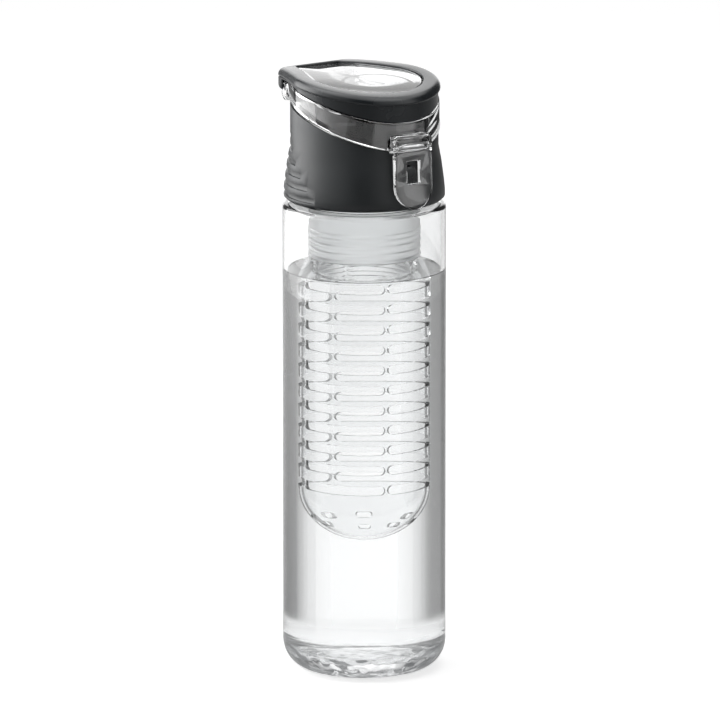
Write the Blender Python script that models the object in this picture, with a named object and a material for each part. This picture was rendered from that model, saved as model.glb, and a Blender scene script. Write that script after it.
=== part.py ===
"""Clear drinking bottle with a fruit infuser and a flip-up lid.

Metres, +Z up. The origin is the centre of the base ring that the bottle stands on.
The latch faces -Y and the lid's hinge is at +Y.
"""

import math

import bmesh
import bpy
from mathutils import Vector

# Fits shared by all pieces
GAP = 0.0003
PIN_GAP = 0.0001
OVERRUN = 0.002
EMBED = 0.0005
CHAMFER_SHARE = 1 / 3
ROUND_FACETS = 40
SPOUT_FACETS = 22
SMALL_FACETS = 16
PIVOT_FACETS = 12
SHARP_ANGLE = math.radians(32)

# Bottle body
BODY_RADIUS = 0.0350
BODY_WALL = 0.0020
SHOULDER_HEIGHT = 0.2038
SHOULDER_ROUND = 0.0018
BASE_ROUND = 0.0125
BASE_THICKNESS = 0.0050
BASE_INNER_ROUND = 0.0100
PUSH_UP = 0.0030
FOOT_WIDTH = 0.0030
PUSH_UP_SLOPE_WIDTH = 0.0040
BASE_STEPS = 5
FLOOR_STEPS = 4
SHOULDER_STEPS = 2
NECK_WALL = 0.0020
NECK_HEIGHT = 0.0152

# Threads
THREAD_PITCH = 0.0040
THREAD_BASE = 0.0018
THREAD_CREST = 0.0008
THREAD_HALF_TURNS = 3
INFUSER_THREAD_HALF_TURNS = 6
NECK_THREAD_HEIGHT = 0.0011
CAP_THREAD_HEIGHT = 0.0005
NECK_THREAD_START = 0.0040
INFUSER_THREAD_HEIGHT = 0.0006
INFUSER_THREAD_START = 0.0035

# Rim gasket
GASKET_THICKNESS = 0.0016
GASKET_INSET = 0.0002

# Cap collar: heights are above the bottle's shoulder, insets are from the body's or the belt's radius
COLLAR_LIFT = 0.0007
COLLAR_INSET = 0.0005
COLLAR_FOOT_INSET = 0.0015
COLLAR_FOOT_WALL = 0.0011
COLLAR_BELT_BOTTOM = 0.0027
COLLAR_BELT_TOP = 0.0058
COLLAR_LOWER_INSET = 0.0004
COLLAR_LOWER_HEIGHT = 0.0100
COLLAR_MIDDLE_INSET = 0.0016
COLLAR_MIDDLE_HEIGHT = 0.0189
COLLAR_TOP_INSET = 0.0028
COLLAR_TOP_HEIGHT = 0.0252
COLLAR_WALL = 0.0015
RIM_FRONT_LIFT = 0.0269
RIM_CROWN = 0.00395
RIM_REAR_LIFT = 0.0440

# Grip pockets round the collar's rear
GRIP_COUNT = 8
GRIP_PITCH = 0.00475
GRIP_HEIGHT = 0.0022
GRIP_DEPTH = 0.0007
GRIP_FIRST_HEIGHT = 0.0052
GRIP_START_ANGLE = math.radians(73.3)
GRIP_STEP_ANGLE = math.radians(7.0)
GRIP_GROWTH_ANGLE = math.radians(0.45)
GRIP_FACETS = 13

# Spout cup inside the collar
SKIRT_WALL = 0.0017
CUP_WALL = 0.0013
CUP_FLOOR = 0.0022
CUP_DROP = 0.0010
CUP_STEP_HEIGHT = 0.0040
SPOUT_INSET = 0.0052
SPOUT_WALL = 0.0025
SPOUT_FORWARD = 0.0100
SPOUT_DROP = 0.0073
SPOUT_LIP_ROUND = 0.0006
SEAT_WALL = 0.0013
SEAT_HEIGHT = 0.0070

# Infuser sleeve and basket
SLEEVE_SPACE = 0.0015
SLEEVE_WALL = 0.00125
SLEEVE_DROP = 0.0228
BASKET_INSET = 0.0031
BASKET_WALL = 0.0015
BASKET_LENGTH = 0.1227
BASKET_FLANGE_INSET = 0.0016
BASKET_FLANGE_HEIGHT = 0.0057
BASKET_FLANGE_ROUND = 0.0012
BASKET_NECK_HEIGHT = 0.0180
SLOT_ROWS = 11
SLOT_LOW_MARGIN = 0.0013
SLOT_HEIGHT = 0.0040
SLOT_TOP_MARGIN = 0.0030
THIN_RIB_ANGLE = math.radians(3.4)
WIDE_RIB_ANGLE = math.radians(7)
NARROW_SIDE_ANGLE = math.radians(75)
RIB_DIRECTION = math.radians(-101)
SLOT_FACETS = 5
DOME_ROWS = 5
DRAIN_ROW = 2
DRAIN_COUNT = 8
DRAIN_COLUMNS = 2

# Lid plan: a front arc, near-straight flanks and a squared rear
LID_OVERHANG = 0.0001
LID_FORWARD = 0.0012
LID_REAR_SPACE = 0.0014
LID_CORNER_ROUND = 0.0040
LID_CHEEK_SPACE = 0.0023
WINDOW_INSET = 0.0075
WINDOW_FORWARD = 0.0015
WINDOW_REAR_BAR = 0.0041
WINDOW_CORNER_ROUND = 0.0030
WINDOW_SIDE_BAR = 0.0042
FRONT_STEPS = 14
FLANK_STEPS = 3
CORNER_STEPS = 3
REAR_STEPS = 4

# Lid side view, over the axis and this far outside the lid's radius, in front and behind:
# the band's top above the collar's rim, and the lid's top above the band's
SIDE_VIEW_MARGIN = 0.0009
LID_FRONT_HEIGHT = 0.0113
LID_MIDDLE_HEIGHT = 0.0059
LID_REAR_HEIGHT = 0.0046
BAND_FRONT_HEIGHT = 0.0125
BAND_MIDDLE_HEIGHT = 0.0097
BAND_REAR_HEIGHT = 0.0062

# Dark ring on the lid
RING_FLANGE = 0.0038
RING_EDGE_ROUND = 0.0009
RING_TOP_ROUND = 0.0028
RING_ROUND_STEPS = 3
RING_PLATE = 0.0022
RING_SKIRT_INSET = 0.0009
RING_SKIRT_WALL = 0.0014
RING_REAR_WALL = 0.0010
RING_TAIL_LIFT = 0.0013
RING_REAR_INSET_SHARE = 1 / 3
TAIL_START_SHARE = 0.55
TAIL_RAMP_SHARE = 0.25
RING_WINDOW_DROP = 0.0002

# Clear lid shell
SHELL_WALL = 0.0018
SHELL_UPPER_WALL = 0.0012
SHELL_LIP_INSET = 0.0001
SHELL_BAND_INSET = 0.0004
SHELL_LIP_HEIGHT = 0.0010
SHELL_REAR_TUCK = 0.0014
SHELL_PLATE_DROP = 0.0008
SHELL_EDGE_ROUND = 0.0006
SHELL_REAR_LIFT = 0.0036
PLATE_RING_SHARE = 0.5
BOSS_INSET = 0.0161
BOSS_WALL = 0.0014
BOSS_LIFT = 0.0020

# Spout seal
SEAL_THICKNESS = 0.0020
SEAL_WALL = 0.0020
SEAL_RIM_LIFT = 0.0041
PLUG_DEPTH = 0.0020

# Lid hinge
HINGE_STANDOFF = 0.0023
HINGE_DROP = 0.0003
HINGE_PIN_RADIUS = 0.00125
KNUCKLE_RADIUS = 0.0032
KNUCKLE_HALF_LENGTH = 0.0146
CHEEK_WIDTH = 0.0020
CHEEK_RADIUS = 0.0033
CHEEK_HEIGHT = 0.0060
CHEEK_STEPS = 8
WEB_DEPTH = 0.0028
WEB_TOP_DROP = 0.0008
WEB_STEPS = 7

# Latch and its bracket
PIVOT_STANDOFF = 0.0023
PIVOT_LIFT = 0.0025
PIVOT_RADIUS = 0.0009
LATCH_BARREL_RADIUS = 0.0016
LATCH_HALF_WIDTH = 0.0094
LATCH_THICKNESS = 0.0020
LATCH_FOOT_LIFT = 0.0030
LATCH_SHOULDER = 0.0005
LATCH_FLARE = 0.0022
LATCH_SPREAD = 0.0009
LATCH_FLARE_POWER = 6
LATCH_ROWS = 5
LATCH_END_STEPS = 6
WINDOW_SLOT_WIDTH = 0.0068
WINDOW_SLOT_DROP = 0.0058
WINDOW_SLOT_HEIGHT = 0.0100
BRACKET_HALF_WIDTH = 0.0095
BRACKET_WALL = 0.0016
BRACKET_DROP = 0.0022
BRACKET_HEEL = 0.0022
BRACKET_LIFT = 0.0052
BRACKET_NOSE = 0.0014
BRACKET_DEPTH = 0.0044
BRACKET_HEEL_DEPTH = 0.0030
BRACKET_ROUND = 0.0025
BRACKET_STEPS = 3
STUD_RADIUS = 0.0028
STUD_DROP = 0.0052
STUD_ENTRY = 0.0004
STUD_ROUND = 0.0008


def three_height_curve(front, middle, rear):
    """Height over the side view: a parabola through the three heights."""
    tilt = (front - rear) / 2
    crown = (front + rear) / 2 - middle

    def height(y):
        share = -y / side_view_reach
        return middle + tilt * share + crown * share * share

    return height


# Sizes that follow from the ones above, from the body inward
collar_radius = BODY_RADIUS - COLLAR_INSET
collar_foot_radius = collar_radius - COLLAR_FOOT_INSET
collar_lower_radius = collar_radius - COLLAR_LOWER_INSET
collar_middle_radius = collar_radius - COLLAR_MIDDLE_INSET
collar_top_radius = collar_radius - COLLAR_TOP_INSET
collar_lower_bore = collar_foot_radius - COLLAR_FOOT_WALL
collar_top_bore = collar_top_radius - COLLAR_WALL
collar_bottom = SHOULDER_HEIGHT + COLLAR_LIFT
skirt_radius = collar_lower_bore - GAP
skirt_bore_radius = skirt_radius - SKIRT_WALL
cup_radius = collar_top_bore - GAP
# A ridge's facets cut inside its crest by this share of the crest's radius
thread_sag_share = 1 - math.cos(2 * math.pi / ROUND_FACETS)
cap_thread_crest = skirt_bore_radius - CAP_THREAD_HEIGHT
neck_radius = cap_thread_crest * (1 - thread_sag_share) - GAP - NECK_THREAD_HEIGHT
neck_bore_radius = neck_radius - NECK_WALL
neck_top = SHOULDER_HEIGHT + NECK_HEIGHT
floor_bottom = neck_top + GAP + GASKET_THICKNESS + GAP
floor_top = floor_bottom + CUP_FLOOR
sleeve_radius = neck_bore_radius - SLEEVE_SPACE
sleeve_bore = sleeve_radius - SLEEVE_WALL
sleeve_thread_crest = sleeve_bore - INFUSER_THREAD_HEIGHT
sleeve_bottom = SHOULDER_HEIGHT - SLEEVE_DROP
basket_neck_radius = sleeve_thread_crest * (1 - thread_sag_share) - GAP - INFUSER_THREAD_HEIGHT
basket_radius = sleeve_radius - BASKET_INSET
basket_flange_radius = sleeve_radius - BASKET_FLANGE_INSET
basket_flange_top = sleeve_bottom - GAP
basket_flange_bottom = basket_flange_top - BASKET_FLANGE_HEIGHT
basket_bottom = basket_flange_top - BASKET_LENGTH
slot_first_height = basket_bottom + basket_radius + SLOT_LOW_MARGIN
slot_last_height = basket_flange_bottom - SLOT_TOP_MARGIN - SLOT_HEIGHT
slot_pitch = (slot_last_height - slot_first_height) / (SLOT_ROWS - 1)
lid_radius = collar_top_radius + LID_OVERHANG
side_view_reach = lid_radius + SIDE_VIEW_MARGIN
rim_front_height = SHOULDER_HEIGHT + RIM_FRONT_LIFT
rim_rear_height = SHOULDER_HEIGHT + RIM_REAR_LIFT
rim_middle_height = (rim_front_height + rim_rear_height) / 2 + RIM_CROWN
band_top_front = rim_front_height + BAND_FRONT_HEIGHT
band_top_middle = rim_middle_height + BAND_MIDDLE_HEIGHT
band_top_rear = rim_rear_height + BAND_REAR_HEIGHT
lid_top_front = band_top_front + LID_FRONT_HEIGHT
lid_top_middle = band_top_middle + LID_MIDDLE_HEIGHT
lid_top_rear = band_top_rear + LID_REAR_HEIGHT
rim_height = three_height_curve(rim_front_height, rim_middle_height, rim_rear_height)
band_height = three_height_curve(band_top_front, band_top_middle, band_top_rear)
top_height = three_height_curve(lid_top_front, lid_top_middle, lid_top_rear)
hinge_back = collar_top_radius + HINGE_STANDOFF
hinge_height = rim_rear_height - HINGE_DROP
hinge_bore_radius = HINGE_PIN_RADIUS + PIN_GAP
cheek_top = hinge_height + CHEEK_HEIGHT
ring_tail_height = hinge_height + RING_TAIL_LIFT
lid_rear_reach = hinge_back + KNUCKLE_RADIUS + LID_REAR_SPACE + RING_REAR_WALL
lid_rear_half_width = KNUCKLE_HALF_LENGTH + GAP + CHEEK_WIDTH + LID_CHEEK_SPACE
window_radius = lid_radius - WINDOW_INSET
window_rear_reach = lid_rear_reach - WINDOW_REAR_BAR
window_rear_half_width = lid_rear_half_width - WINDOW_SIDE_BAR
boss_radius = lid_radius - BOSS_INSET
spout_radius = boss_radius - SPOUT_INSET
spout_bore_radius = spout_radius - SPOUT_WALL
spout_height = top_height(-SPOUT_FORWARD - boss_radius) - SPOUT_DROP
boss_bottom = spout_height + BOSS_LIFT
seal_top = spout_height + SEAL_RIM_LIFT
pivot_forward = lid_radius + LID_FORWARD + PIVOT_STANDOFF
pivot_height = rim_front_height + PIVOT_LIFT
pivot_bore_radius = PIVOT_RADIUS + PIN_GAP
latch_bottom = SHOULDER_HEIGHT + LATCH_FOOT_LIFT
window_slot_top = pivot_height - WINDOW_SLOT_DROP
stud_height = window_slot_top - STUD_DROP
bracket_bottom = pivot_height - BRACKET_DROP
bracket_top = pivot_height + BRACKET_LIFT
bracket_reach = pivot_forward + BRACKET_NOSE
bracket_heel_start = pivot_forward - BRACKET_HEEL_DEPTH
bracket_back = pivot_forward - BRACKET_DEPTH


def raised(curve, amount):
    """The same side-view curve, moved up by an amount."""
    return lambda y: curve(y) + amount


def height_at(z, y):
    """A profile's height is a number, or a side-view curve read at y."""
    return z(y) if callable(z) else z


def arc(centre_r, centre_z, radius, start, end, steps):
    """Points (r, z) of an arc between two angles in degrees."""
    points = []
    for step in range(steps + 1):
        angle = math.radians(start + (end - start) * step / steps)
        points.append((centre_r + radius * math.cos(angle), centre_z + radius * math.sin(angle)))
    return points


def make_object(name, bm, smooth=True):
    """Turn a bmesh into a linked object with outward faces."""
    bmesh.ops.recalc_face_normals(bm, faces=bm.faces)
    mesh = bpy.data.meshes.new(name)
    bm.to_mesh(mesh)
    bm.free()
    if smooth:
        mesh.shade_smooth()
        mesh.set_sharp_from_angle(angle=SHARP_ANGLE)
    obj = bpy.data.objects.new(name, mesh)
    bpy.context.collection.objects.link(obj)
    return obj


def revolve(name, profile, centre_y=0.0, facets=ROUND_FACETS):
    """Turn a profile of (r, z) points round a vertical axis; r = 0 makes a pole."""
    bm = bmesh.new()
    rings = []
    for r, z in profile:
        if r == 0:
            rings.append([bm.verts.new((0, centre_y, height_at(z, centre_y)))])
            continue
        ring = []
        for step in range(facets):
            angle = 2 * math.pi * step / facets
            y = centre_y + r * math.sin(angle)
            ring.append(bm.verts.new((r * math.cos(angle), y, height_at(z, y))))
        rings.append(ring)
    pairs = list(zip(rings, rings[1:]))
    if len(rings[0]) > 1 and len(rings[-1]) > 1:
        pairs.append((rings[-1], rings[0]))
    for lower, upper in pairs:
        for step in range(facets):
            after = (step + 1) % facets
            corners = [lower[step % len(lower)], lower[after % len(lower)]]
            corners += [upper[after % len(upper)], upper[step % len(upper)]]
            bm.faces.new(list(dict.fromkeys(corners)))
    return make_object(name, bm)


def skin(name, loops, closed=False, smooth=True):
    """Skin a stack of loops of equal count; an open stack gets a face at each end."""
    bm = bmesh.new()
    rows = [[bm.verts.new(point) for point in loop] for loop in loops]
    pairs = list(zip(rows, rows[1:]))
    if closed:
        pairs.append((rows[-1], rows[0]))
    for lower, upper in pairs:
        for index in range(len(lower)):
            after = (index + 1) % len(lower)
            bm.faces.new((lower[index], lower[after], upper[after], upper[index]))
    if not closed:
        bm.faces.new(rows[0])
        bm.faces.new(rows[-1])
    return make_object(name, bm, smooth)


def prism(name, outline, low, high, axis):
    """Extrude a flat outline of pairs between two places along one axis."""
    def lift(pair, place):
        if axis == "X":
            return (place, pair[0], pair[1])
        if axis == "Y":
            return (pair[0], place, pair[1])
        return (pair[0], pair[1], place)

    return skin(name, [[lift(pair, place) for pair in outline] for place in (low, high)])


def circle(u, v, radius, facets=SMALL_FACETS):
    """Outline of a circle, as pairs."""
    turns = [2 * math.pi * step / facets for step in range(facets)]
    return [(u + radius * math.cos(turn), v + radius * math.sin(turn)) for turn in turns]


def block(name, low, high):
    """A box between two corners."""
    outline = [(low[0], low[1]), (high[0], low[1]), (high[0], high[1]), (low[0], high[1])]
    return prism(name, outline, low[2], high[2], "Z")


def combine(target, tool, operation):
    """Join a helper to a piece, or cut it out; the helper itself isn't a piece."""
    tool.hide_render = True
    tool.display_type = "WIRE"
    boolean = target.modifiers.new(tool.name, "BOOLEAN")
    boolean.solver = "EXACT"
    boolean.operation = operation
    boolean.object = tool


def material(name, colour, roughness, metallic=0.0, alpha=1.0):
    """A Principled material in the piece's own colour."""
    finish = bpy.data.materials.new(name)
    finish.use_nodes = True
    shader = finish.node_tree.nodes["Principled BSDF"]
    shader.inputs["Base Color"].default_value = (*colour, 1)
    shader.inputs["Roughness"].default_value = roughness
    shader.inputs["Metallic"].default_value = metallic
    shader.inputs["Alpha"].default_value = alpha
    finish.diffuse_color = (*colour, alpha)
    return finish


def dress(obj, *finish):
    """Give a piece its own material."""
    obj.data.materials.append(material(obj.name + "_finish", *finish))


def joint_empty(name, place, parent=None):
    """An empty on a joint's axis, which carries the pieces that move there."""
    empty = bpy.data.objects.new(name, None)
    bpy.context.collection.objects.link(empty)
    empty.location = Vector(place) - (carried_place(parent) if parent else Vector())
    empty.parent = parent
    return empty


def carried_place(empty):
    """World place of an empty that is only moved, never turned."""
    place = Vector(empty.location)
    return place + carried_place(empty.parent) if empty.parent else place


def carry(empty, *objects):
    """Hang pieces, modelled in place, on an empty without moving them."""
    shift = carried_place(empty)
    for obj in objects:
        obj.location = Vector(obj.location) - shift
        obj.parent = empty


def thread_ridge(name, root_radius, height, start_z, half_turns=THREAD_HALF_TURNS):
    """A helical ridge; a positive height stands outward, a negative one inward."""
    steps = half_turns * ROUND_FACETS // 4
    root = root_radius - math.copysign(EMBED, height)
    loops = []
    for step in range(steps + 1):
        share = step / steps
        angle = math.pi * half_turns * share
        z = start_z + THREAD_PITCH / 2 * half_turns * share
        taper = min(1, steps * min(share, 1 - share) / 2 + EMBED / THREAD_BASE)
        crest = root_radius + height * taper
        section = [(root, -THREAD_BASE / 2), (crest, -THREAD_CREST / 2)]
        section += [(crest, THREAD_CREST / 2), (root, THREAD_BASE / 2)]
        loops.append([(r * math.cos(angle), r * math.sin(angle), z + dz) for r, dz in section])
    return skin(name, loops)


def build_bottle_body():
    """Thick clear base, straight wall, small shoulder and a threaded neck."""
    foot_radius = BODY_RADIUS - BASE_ROUND
    inner_radius = BODY_RADIUS - BODY_WALL
    inner_floor = PUSH_UP + BASE_THICKNESS
    inner_corner = inner_radius - BASE_INNER_ROUND
    shoulder_under = SHOULDER_HEIGHT - BODY_WALL
    push_up_radius = foot_radius - FOOT_WIDTH - PUSH_UP_SLOPE_WIDTH
    profile = [(0, PUSH_UP), (push_up_radius, PUSH_UP), (foot_radius - FOOT_WIDTH, 0)]
    profile += arc(foot_radius, BASE_ROUND, BASE_ROUND, -90, 0, BASE_STEPS)
    profile += arc(BODY_RADIUS - SHOULDER_ROUND, SHOULDER_HEIGHT - SHOULDER_ROUND,
                   SHOULDER_ROUND, 0, 90, SHOULDER_STEPS)
    profile += [(neck_radius, SHOULDER_HEIGHT), (neck_radius, neck_top)]
    profile += [(neck_bore_radius, neck_top), (neck_bore_radius, shoulder_under)]
    profile += arc(inner_radius - SHOULDER_ROUND, shoulder_under - SHOULDER_ROUND,
                   SHOULDER_ROUND, 90, 0, SHOULDER_STEPS)
    profile += arc(inner_corner, inner_floor + BASE_INNER_ROUND, BASE_INNER_ROUND,
                   0, -90, FLOOR_STEPS)
    profile += [(0, inner_floor)]
    body = revolve("bottle_body", profile)
    ridge = thread_ridge("neck_thread", neck_radius, NECK_THREAD_HEIGHT,
                         SHOULDER_HEIGHT + NECK_THREAD_START)
    combine(body, ridge, "UNION")
    dress(body, (0.93, 0.95, 0.96), 0.05, 0.0, 0.35)
    return body


def build_neck_gasket():
    """Soft ring between the bottle's rim and the cup's floor."""
    inner = neck_bore_radius + GASKET_INSET
    outer = neck_radius - GASKET_INSET
    low = neck_top + GAP
    high = low + GASKET_THICKNESS
    gasket = revolve("neck_gasket", [(inner, low), (outer, low), (outer, high), (inner, high)])
    dress(gasket, (0.80, 0.80, 0.78), 0.7)
    return gasket


def collar_outline():
    """Outer side of the collar from its foot to just under the rim."""
    return [
        (collar_foot_radius, collar_bottom),
        (collar_radius, SHOULDER_HEIGHT + COLLAR_BELT_BOTTOM),
        (collar_radius, SHOULDER_HEIGHT + COLLAR_BELT_TOP),
        (collar_lower_radius, SHOULDER_HEIGHT + COLLAR_LOWER_HEIGHT),
        (collar_middle_radius, SHOULDER_HEIGHT + COLLAR_MIDDLE_HEIGHT),
        (collar_top_radius, SHOULDER_HEIGHT + COLLAR_TOP_HEIGHT),
    ]


def collar_radius_at(z):
    """Outer radius of the collar at a height."""
    outline = collar_outline()
    for (r0, z0), (r1, z1) in zip(outline, outline[1:]):
        if z <= z1:
            return r0 + (r1 - r0) * (z - z0) / (z1 - z0)
    return collar_top_radius


def grip_cutter(index):
    """One horizontal pocket, from its own start angle round the rear to the other side."""
    middle = SHOULDER_HEIGHT + GRIP_FIRST_HEIGHT + GRIP_PITCH * index
    start = GRIP_START_ANGLE + GRIP_STEP_ANGLE * index + GRIP_GROWTH_ANGLE * index * index
    outside = collar_radius + OVERRUN
    loops = []
    for step in range(GRIP_FACETS + 1):
        angle = start + (2 * math.pi - 2 * start) * step / GRIP_FACETS
        direction = (math.sin(angle), -math.cos(angle))
        loop = []
        for z in (middle - GRIP_HEIGHT / 2, middle + GRIP_HEIGHT / 2):
            floor = collar_radius_at(z) - GRIP_DEPTH
            radii = (floor, outside) if z < middle else (outside, floor)
            loop += [(r * direction[0], r * direction[1], z) for r in radii]
        loops.append(loop)
    return skin("grip_cutter_%d" % (index + 1), loops)


def build_collar():
    """Charcoal collar with a slanted rim, grip pockets, latch stud and hinge knuckle."""
    step_top = floor_bottom + EMBED
    profile = collar_outline()
    profile += [(collar_top_radius, rim_height), (collar_top_bore, rim_height)]
    profile += [(collar_top_bore, step_top), (collar_lower_bore, step_top - CUP_STEP_HEIGHT)]
    profile += [(collar_lower_bore, collar_bottom)]
    collar = revolve("collar_shell", profile)

    for index in range(GRIP_COUNT):
        combine(collar, grip_cutter(index), "DIFFERENCE")

    web_radius = collar_top_radius - COLLAR_WALL / 2
    half = KNUCKLE_HALF_LENGTH
    low = hinge_height - WEB_DEPTH
    top = hinge_height - WEB_TOP_DROP
    web = []
    for step in range(WEB_STEPS + 1):
        x = half - 2 * half * step / WEB_STEPS
        inside = math.sqrt(web_radius ** 2 - x ** 2)
        web.append([(x, inside, low), (x, hinge_back, low),
                    (x, hinge_back, top), (x, inside, top)])
    combine(collar, skin("hinge_web", web), "UNION")
    barrel = prism("hinge_barrel", circle(hinge_back, hinge_height, KNUCKLE_RADIUS),
                   -half, half, "X")
    combine(collar, barrel, "UNION")
    bore = prism("hinge_bore", circle(hinge_back, hinge_height, hinge_bore_radius),
                 -half - OVERRUN, half + OVERRUN, "X")
    combine(collar, bore, "DIFFERENCE")

    stud_tip = latch_inner_face(stud_height) + STUD_ENTRY
    stud_root = collar_radius_at(stud_height) - COLLAR_WALL / 2
    stud = skin("latch_stud", [
        [(x, -place, z) for x, z in circle(0, stud_height, radius)]
        for place, radius in ((stud_root, STUD_RADIUS), (stud_tip - STUD_ROUND, STUD_RADIUS),
                              (stud_tip, STUD_RADIUS - STUD_ROUND))])
    combine(collar, stud, "UNION")
    dress(collar, (0.026, 0.030, 0.034), 0.42)
    return collar


def build_spout_cup():
    """Glossy inner cup: threaded skirt, floor, cup wall, drinking spout and sleeve seat."""
    step_top = floor_bottom + EMBED
    wall_top = raised(rim_height, -CUP_DROP)
    cup_bore = cup_radius - CUP_WALL
    seat_radius = sleeve_bore - GAP
    seat_bore = seat_radius - SEAT_WALL
    seat_bottom = floor_bottom - SEAT_HEIGHT
    skirt_bottom = collar_bottom + COLLAR_LIFT
    profile = [(0, floor_bottom), (seat_bore, floor_bottom), (seat_bore, seat_bottom)]
    profile += [(seat_radius, seat_bottom), (seat_radius, floor_bottom)]
    profile += [(skirt_bore_radius, floor_bottom), (skirt_bore_radius, skirt_bottom)]
    profile += [(skirt_radius, skirt_bottom), (skirt_radius, step_top - CUP_STEP_HEIGHT)]
    profile += [(cup_radius, step_top), (cup_radius, wall_top)]
    profile += [(cup_bore, wall_top), (cup_bore, floor_top + CUP_WALL)]
    profile += [(cup_bore - CUP_WALL, floor_top), (0, floor_top)]
    cup = revolve("spout_cup", profile)
    ridge = thread_ridge("cap_thread", skirt_bore_radius, -CAP_THREAD_HEIGHT,
                         SHOULDER_HEIGHT + NECK_THREAD_START + THREAD_PITCH / 2)
    combine(cup, ridge, "UNION")
    lip = spout_radius - SPOUT_LIP_ROUND
    tube = revolve("spout_tube", [
        (0, floor_bottom + EMBED), (spout_radius, floor_bottom + EMBED),
        (spout_radius, spout_height - SPOUT_LIP_ROUND), (lip, spout_height), (0, spout_height),
    ], -SPOUT_FORWARD, SPOUT_FACETS)
    combine(cup, tube, "UNION")
    bore = revolve("spout_bore", [
        (0, floor_bottom - OVERRUN), (spout_bore_radius, floor_bottom - OVERRUN),
        (spout_bore_radius, spout_height + OVERRUN), (0, spout_height + OVERRUN),
    ], -SPOUT_FORWARD, SPOUT_FACETS)
    combine(cup, bore, "DIFFERENCE")
    dress(cup, (0.016, 0.018, 0.020), 0.15)
    return cup


def build_infuser_sleeve():
    """Frosted sleeve that hangs from the cup's seat and takes the basket's thread."""
    top = floor_bottom - GAP
    chamfer = SLEEVE_WALL * CHAMFER_SHARE
    sleeve = revolve("infuser_sleeve", [
        (sleeve_bore, sleeve_bottom), (sleeve_radius - chamfer, sleeve_bottom),
        (sleeve_radius, sleeve_bottom + chamfer), (sleeve_radius, top), (sleeve_bore, top),
    ])
    ridge = thread_ridge("sleeve_thread", sleeve_bore, -INFUSER_THREAD_HEIGHT,
                         sleeve_bottom + INFUSER_THREAD_START, INFUSER_THREAD_HALF_TURNS)
    combine(sleeve, ridge, "UNION")
    dress(sleeve, (0.85, 0.87, 0.88), 0.45, 0.0, 0.55)
    return sleeve


def basket_columns():
    """Angles of the basket's facets, and which of them lie in a slot."""
    angles = []
    in_slot = []
    for quarter in range(4):
        base = RIB_DIRECTION + quarter // 2 * math.pi + quarter % 2 * NARROW_SIDE_ANGLE
        span = NARROW_SIDE_ANGLE if quarter % 2 == 0 else math.pi - NARROW_SIDE_ANGLE
        ribs = (THIN_RIB_ANGLE, WIDE_RIB_ANGLE)
        before, after = ribs if quarter % 2 == 0 else ribs[::-1]
        first = base + before / 2
        last = base + span - after / 2
        for step in range(SLOT_FACETS):
            angles.append(first + (last - first) * step / SLOT_FACETS)
            in_slot.append(True)
        angles.append(last)
        in_slot.append(False)
    return angles, in_slot


def build_infuser_basket():
    """Clear slotted basket with a domed foot and a threaded neck."""
    angles, in_slot = basket_columns()
    dome_centre = basket_bottom + basket_radius
    rows = []
    for row in range(1, DOME_ROWS + 1):
        tilt = math.pi / 2 * row / DOME_ROWS
        rows.append((basket_radius * math.sin(tilt), dome_centre - basket_radius * math.cos(tilt)))
    slot_rows = set()
    for row in range(SLOT_ROWS):
        slot_rows.add(len(rows))
        low = slot_first_height + slot_pitch * row
        rows += [(basket_radius, low), (basket_radius, low + SLOT_HEIGHT)]
    rows += [(basket_radius, basket_flange_bottom)]
    rows += [(basket_flange_radius, basket_flange_bottom + BASKET_FLANGE_ROUND)]
    rows += [(basket_flange_radius, basket_flange_top - BASKET_FLANGE_ROUND)]
    rows += [(basket_neck_radius, basket_flange_top)]
    rows += [(basket_neck_radius, sleeve_bottom + BASKET_NECK_HEIGHT)]

    bm = bmesh.new()
    pole = bm.verts.new((0, 0, basket_bottom))
    rings = [[bm.verts.new((r * math.cos(a), r * math.sin(a), z)) for a in angles]
             for r, z in rows]
    count = len(angles)
    drain_every = count // DRAIN_COUNT
    for column in range(count):
        after = (column + 1) % count
        bm.faces.new((pole, rings[0][after], rings[0][column]))
        for row, (lower, upper) in enumerate(zip(rings, rings[1:])):
            is_slot = row in slot_rows and in_slot[column]
            is_drain = row == DRAIN_ROW and column % drain_every < DRAIN_COLUMNS and in_slot[column]
            if not is_slot and not is_drain:
                bm.faces.new((lower[column], lower[after], upper[after], upper[column]))
    basket = make_object("infuser_basket", bm)
    wall = basket.modifiers.new("wall", "SOLIDIFY")
    wall.thickness = BASKET_WALL
    wall.offset = -1
    wall.use_even_offset = True
    ridge = thread_ridge("basket_thread", basket_neck_radius, INFUSER_THREAD_HEIGHT,
                         sleeve_bottom + INFUSER_THREAD_START + THREAD_PITCH / 2,
                         INFUSER_THREAD_HALF_TURNS)
    combine(basket, ridge, "UNION")
    dress(basket, (0.93, 0.95, 0.96), 0.08, 0.0, 0.35)
    return basket


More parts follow.
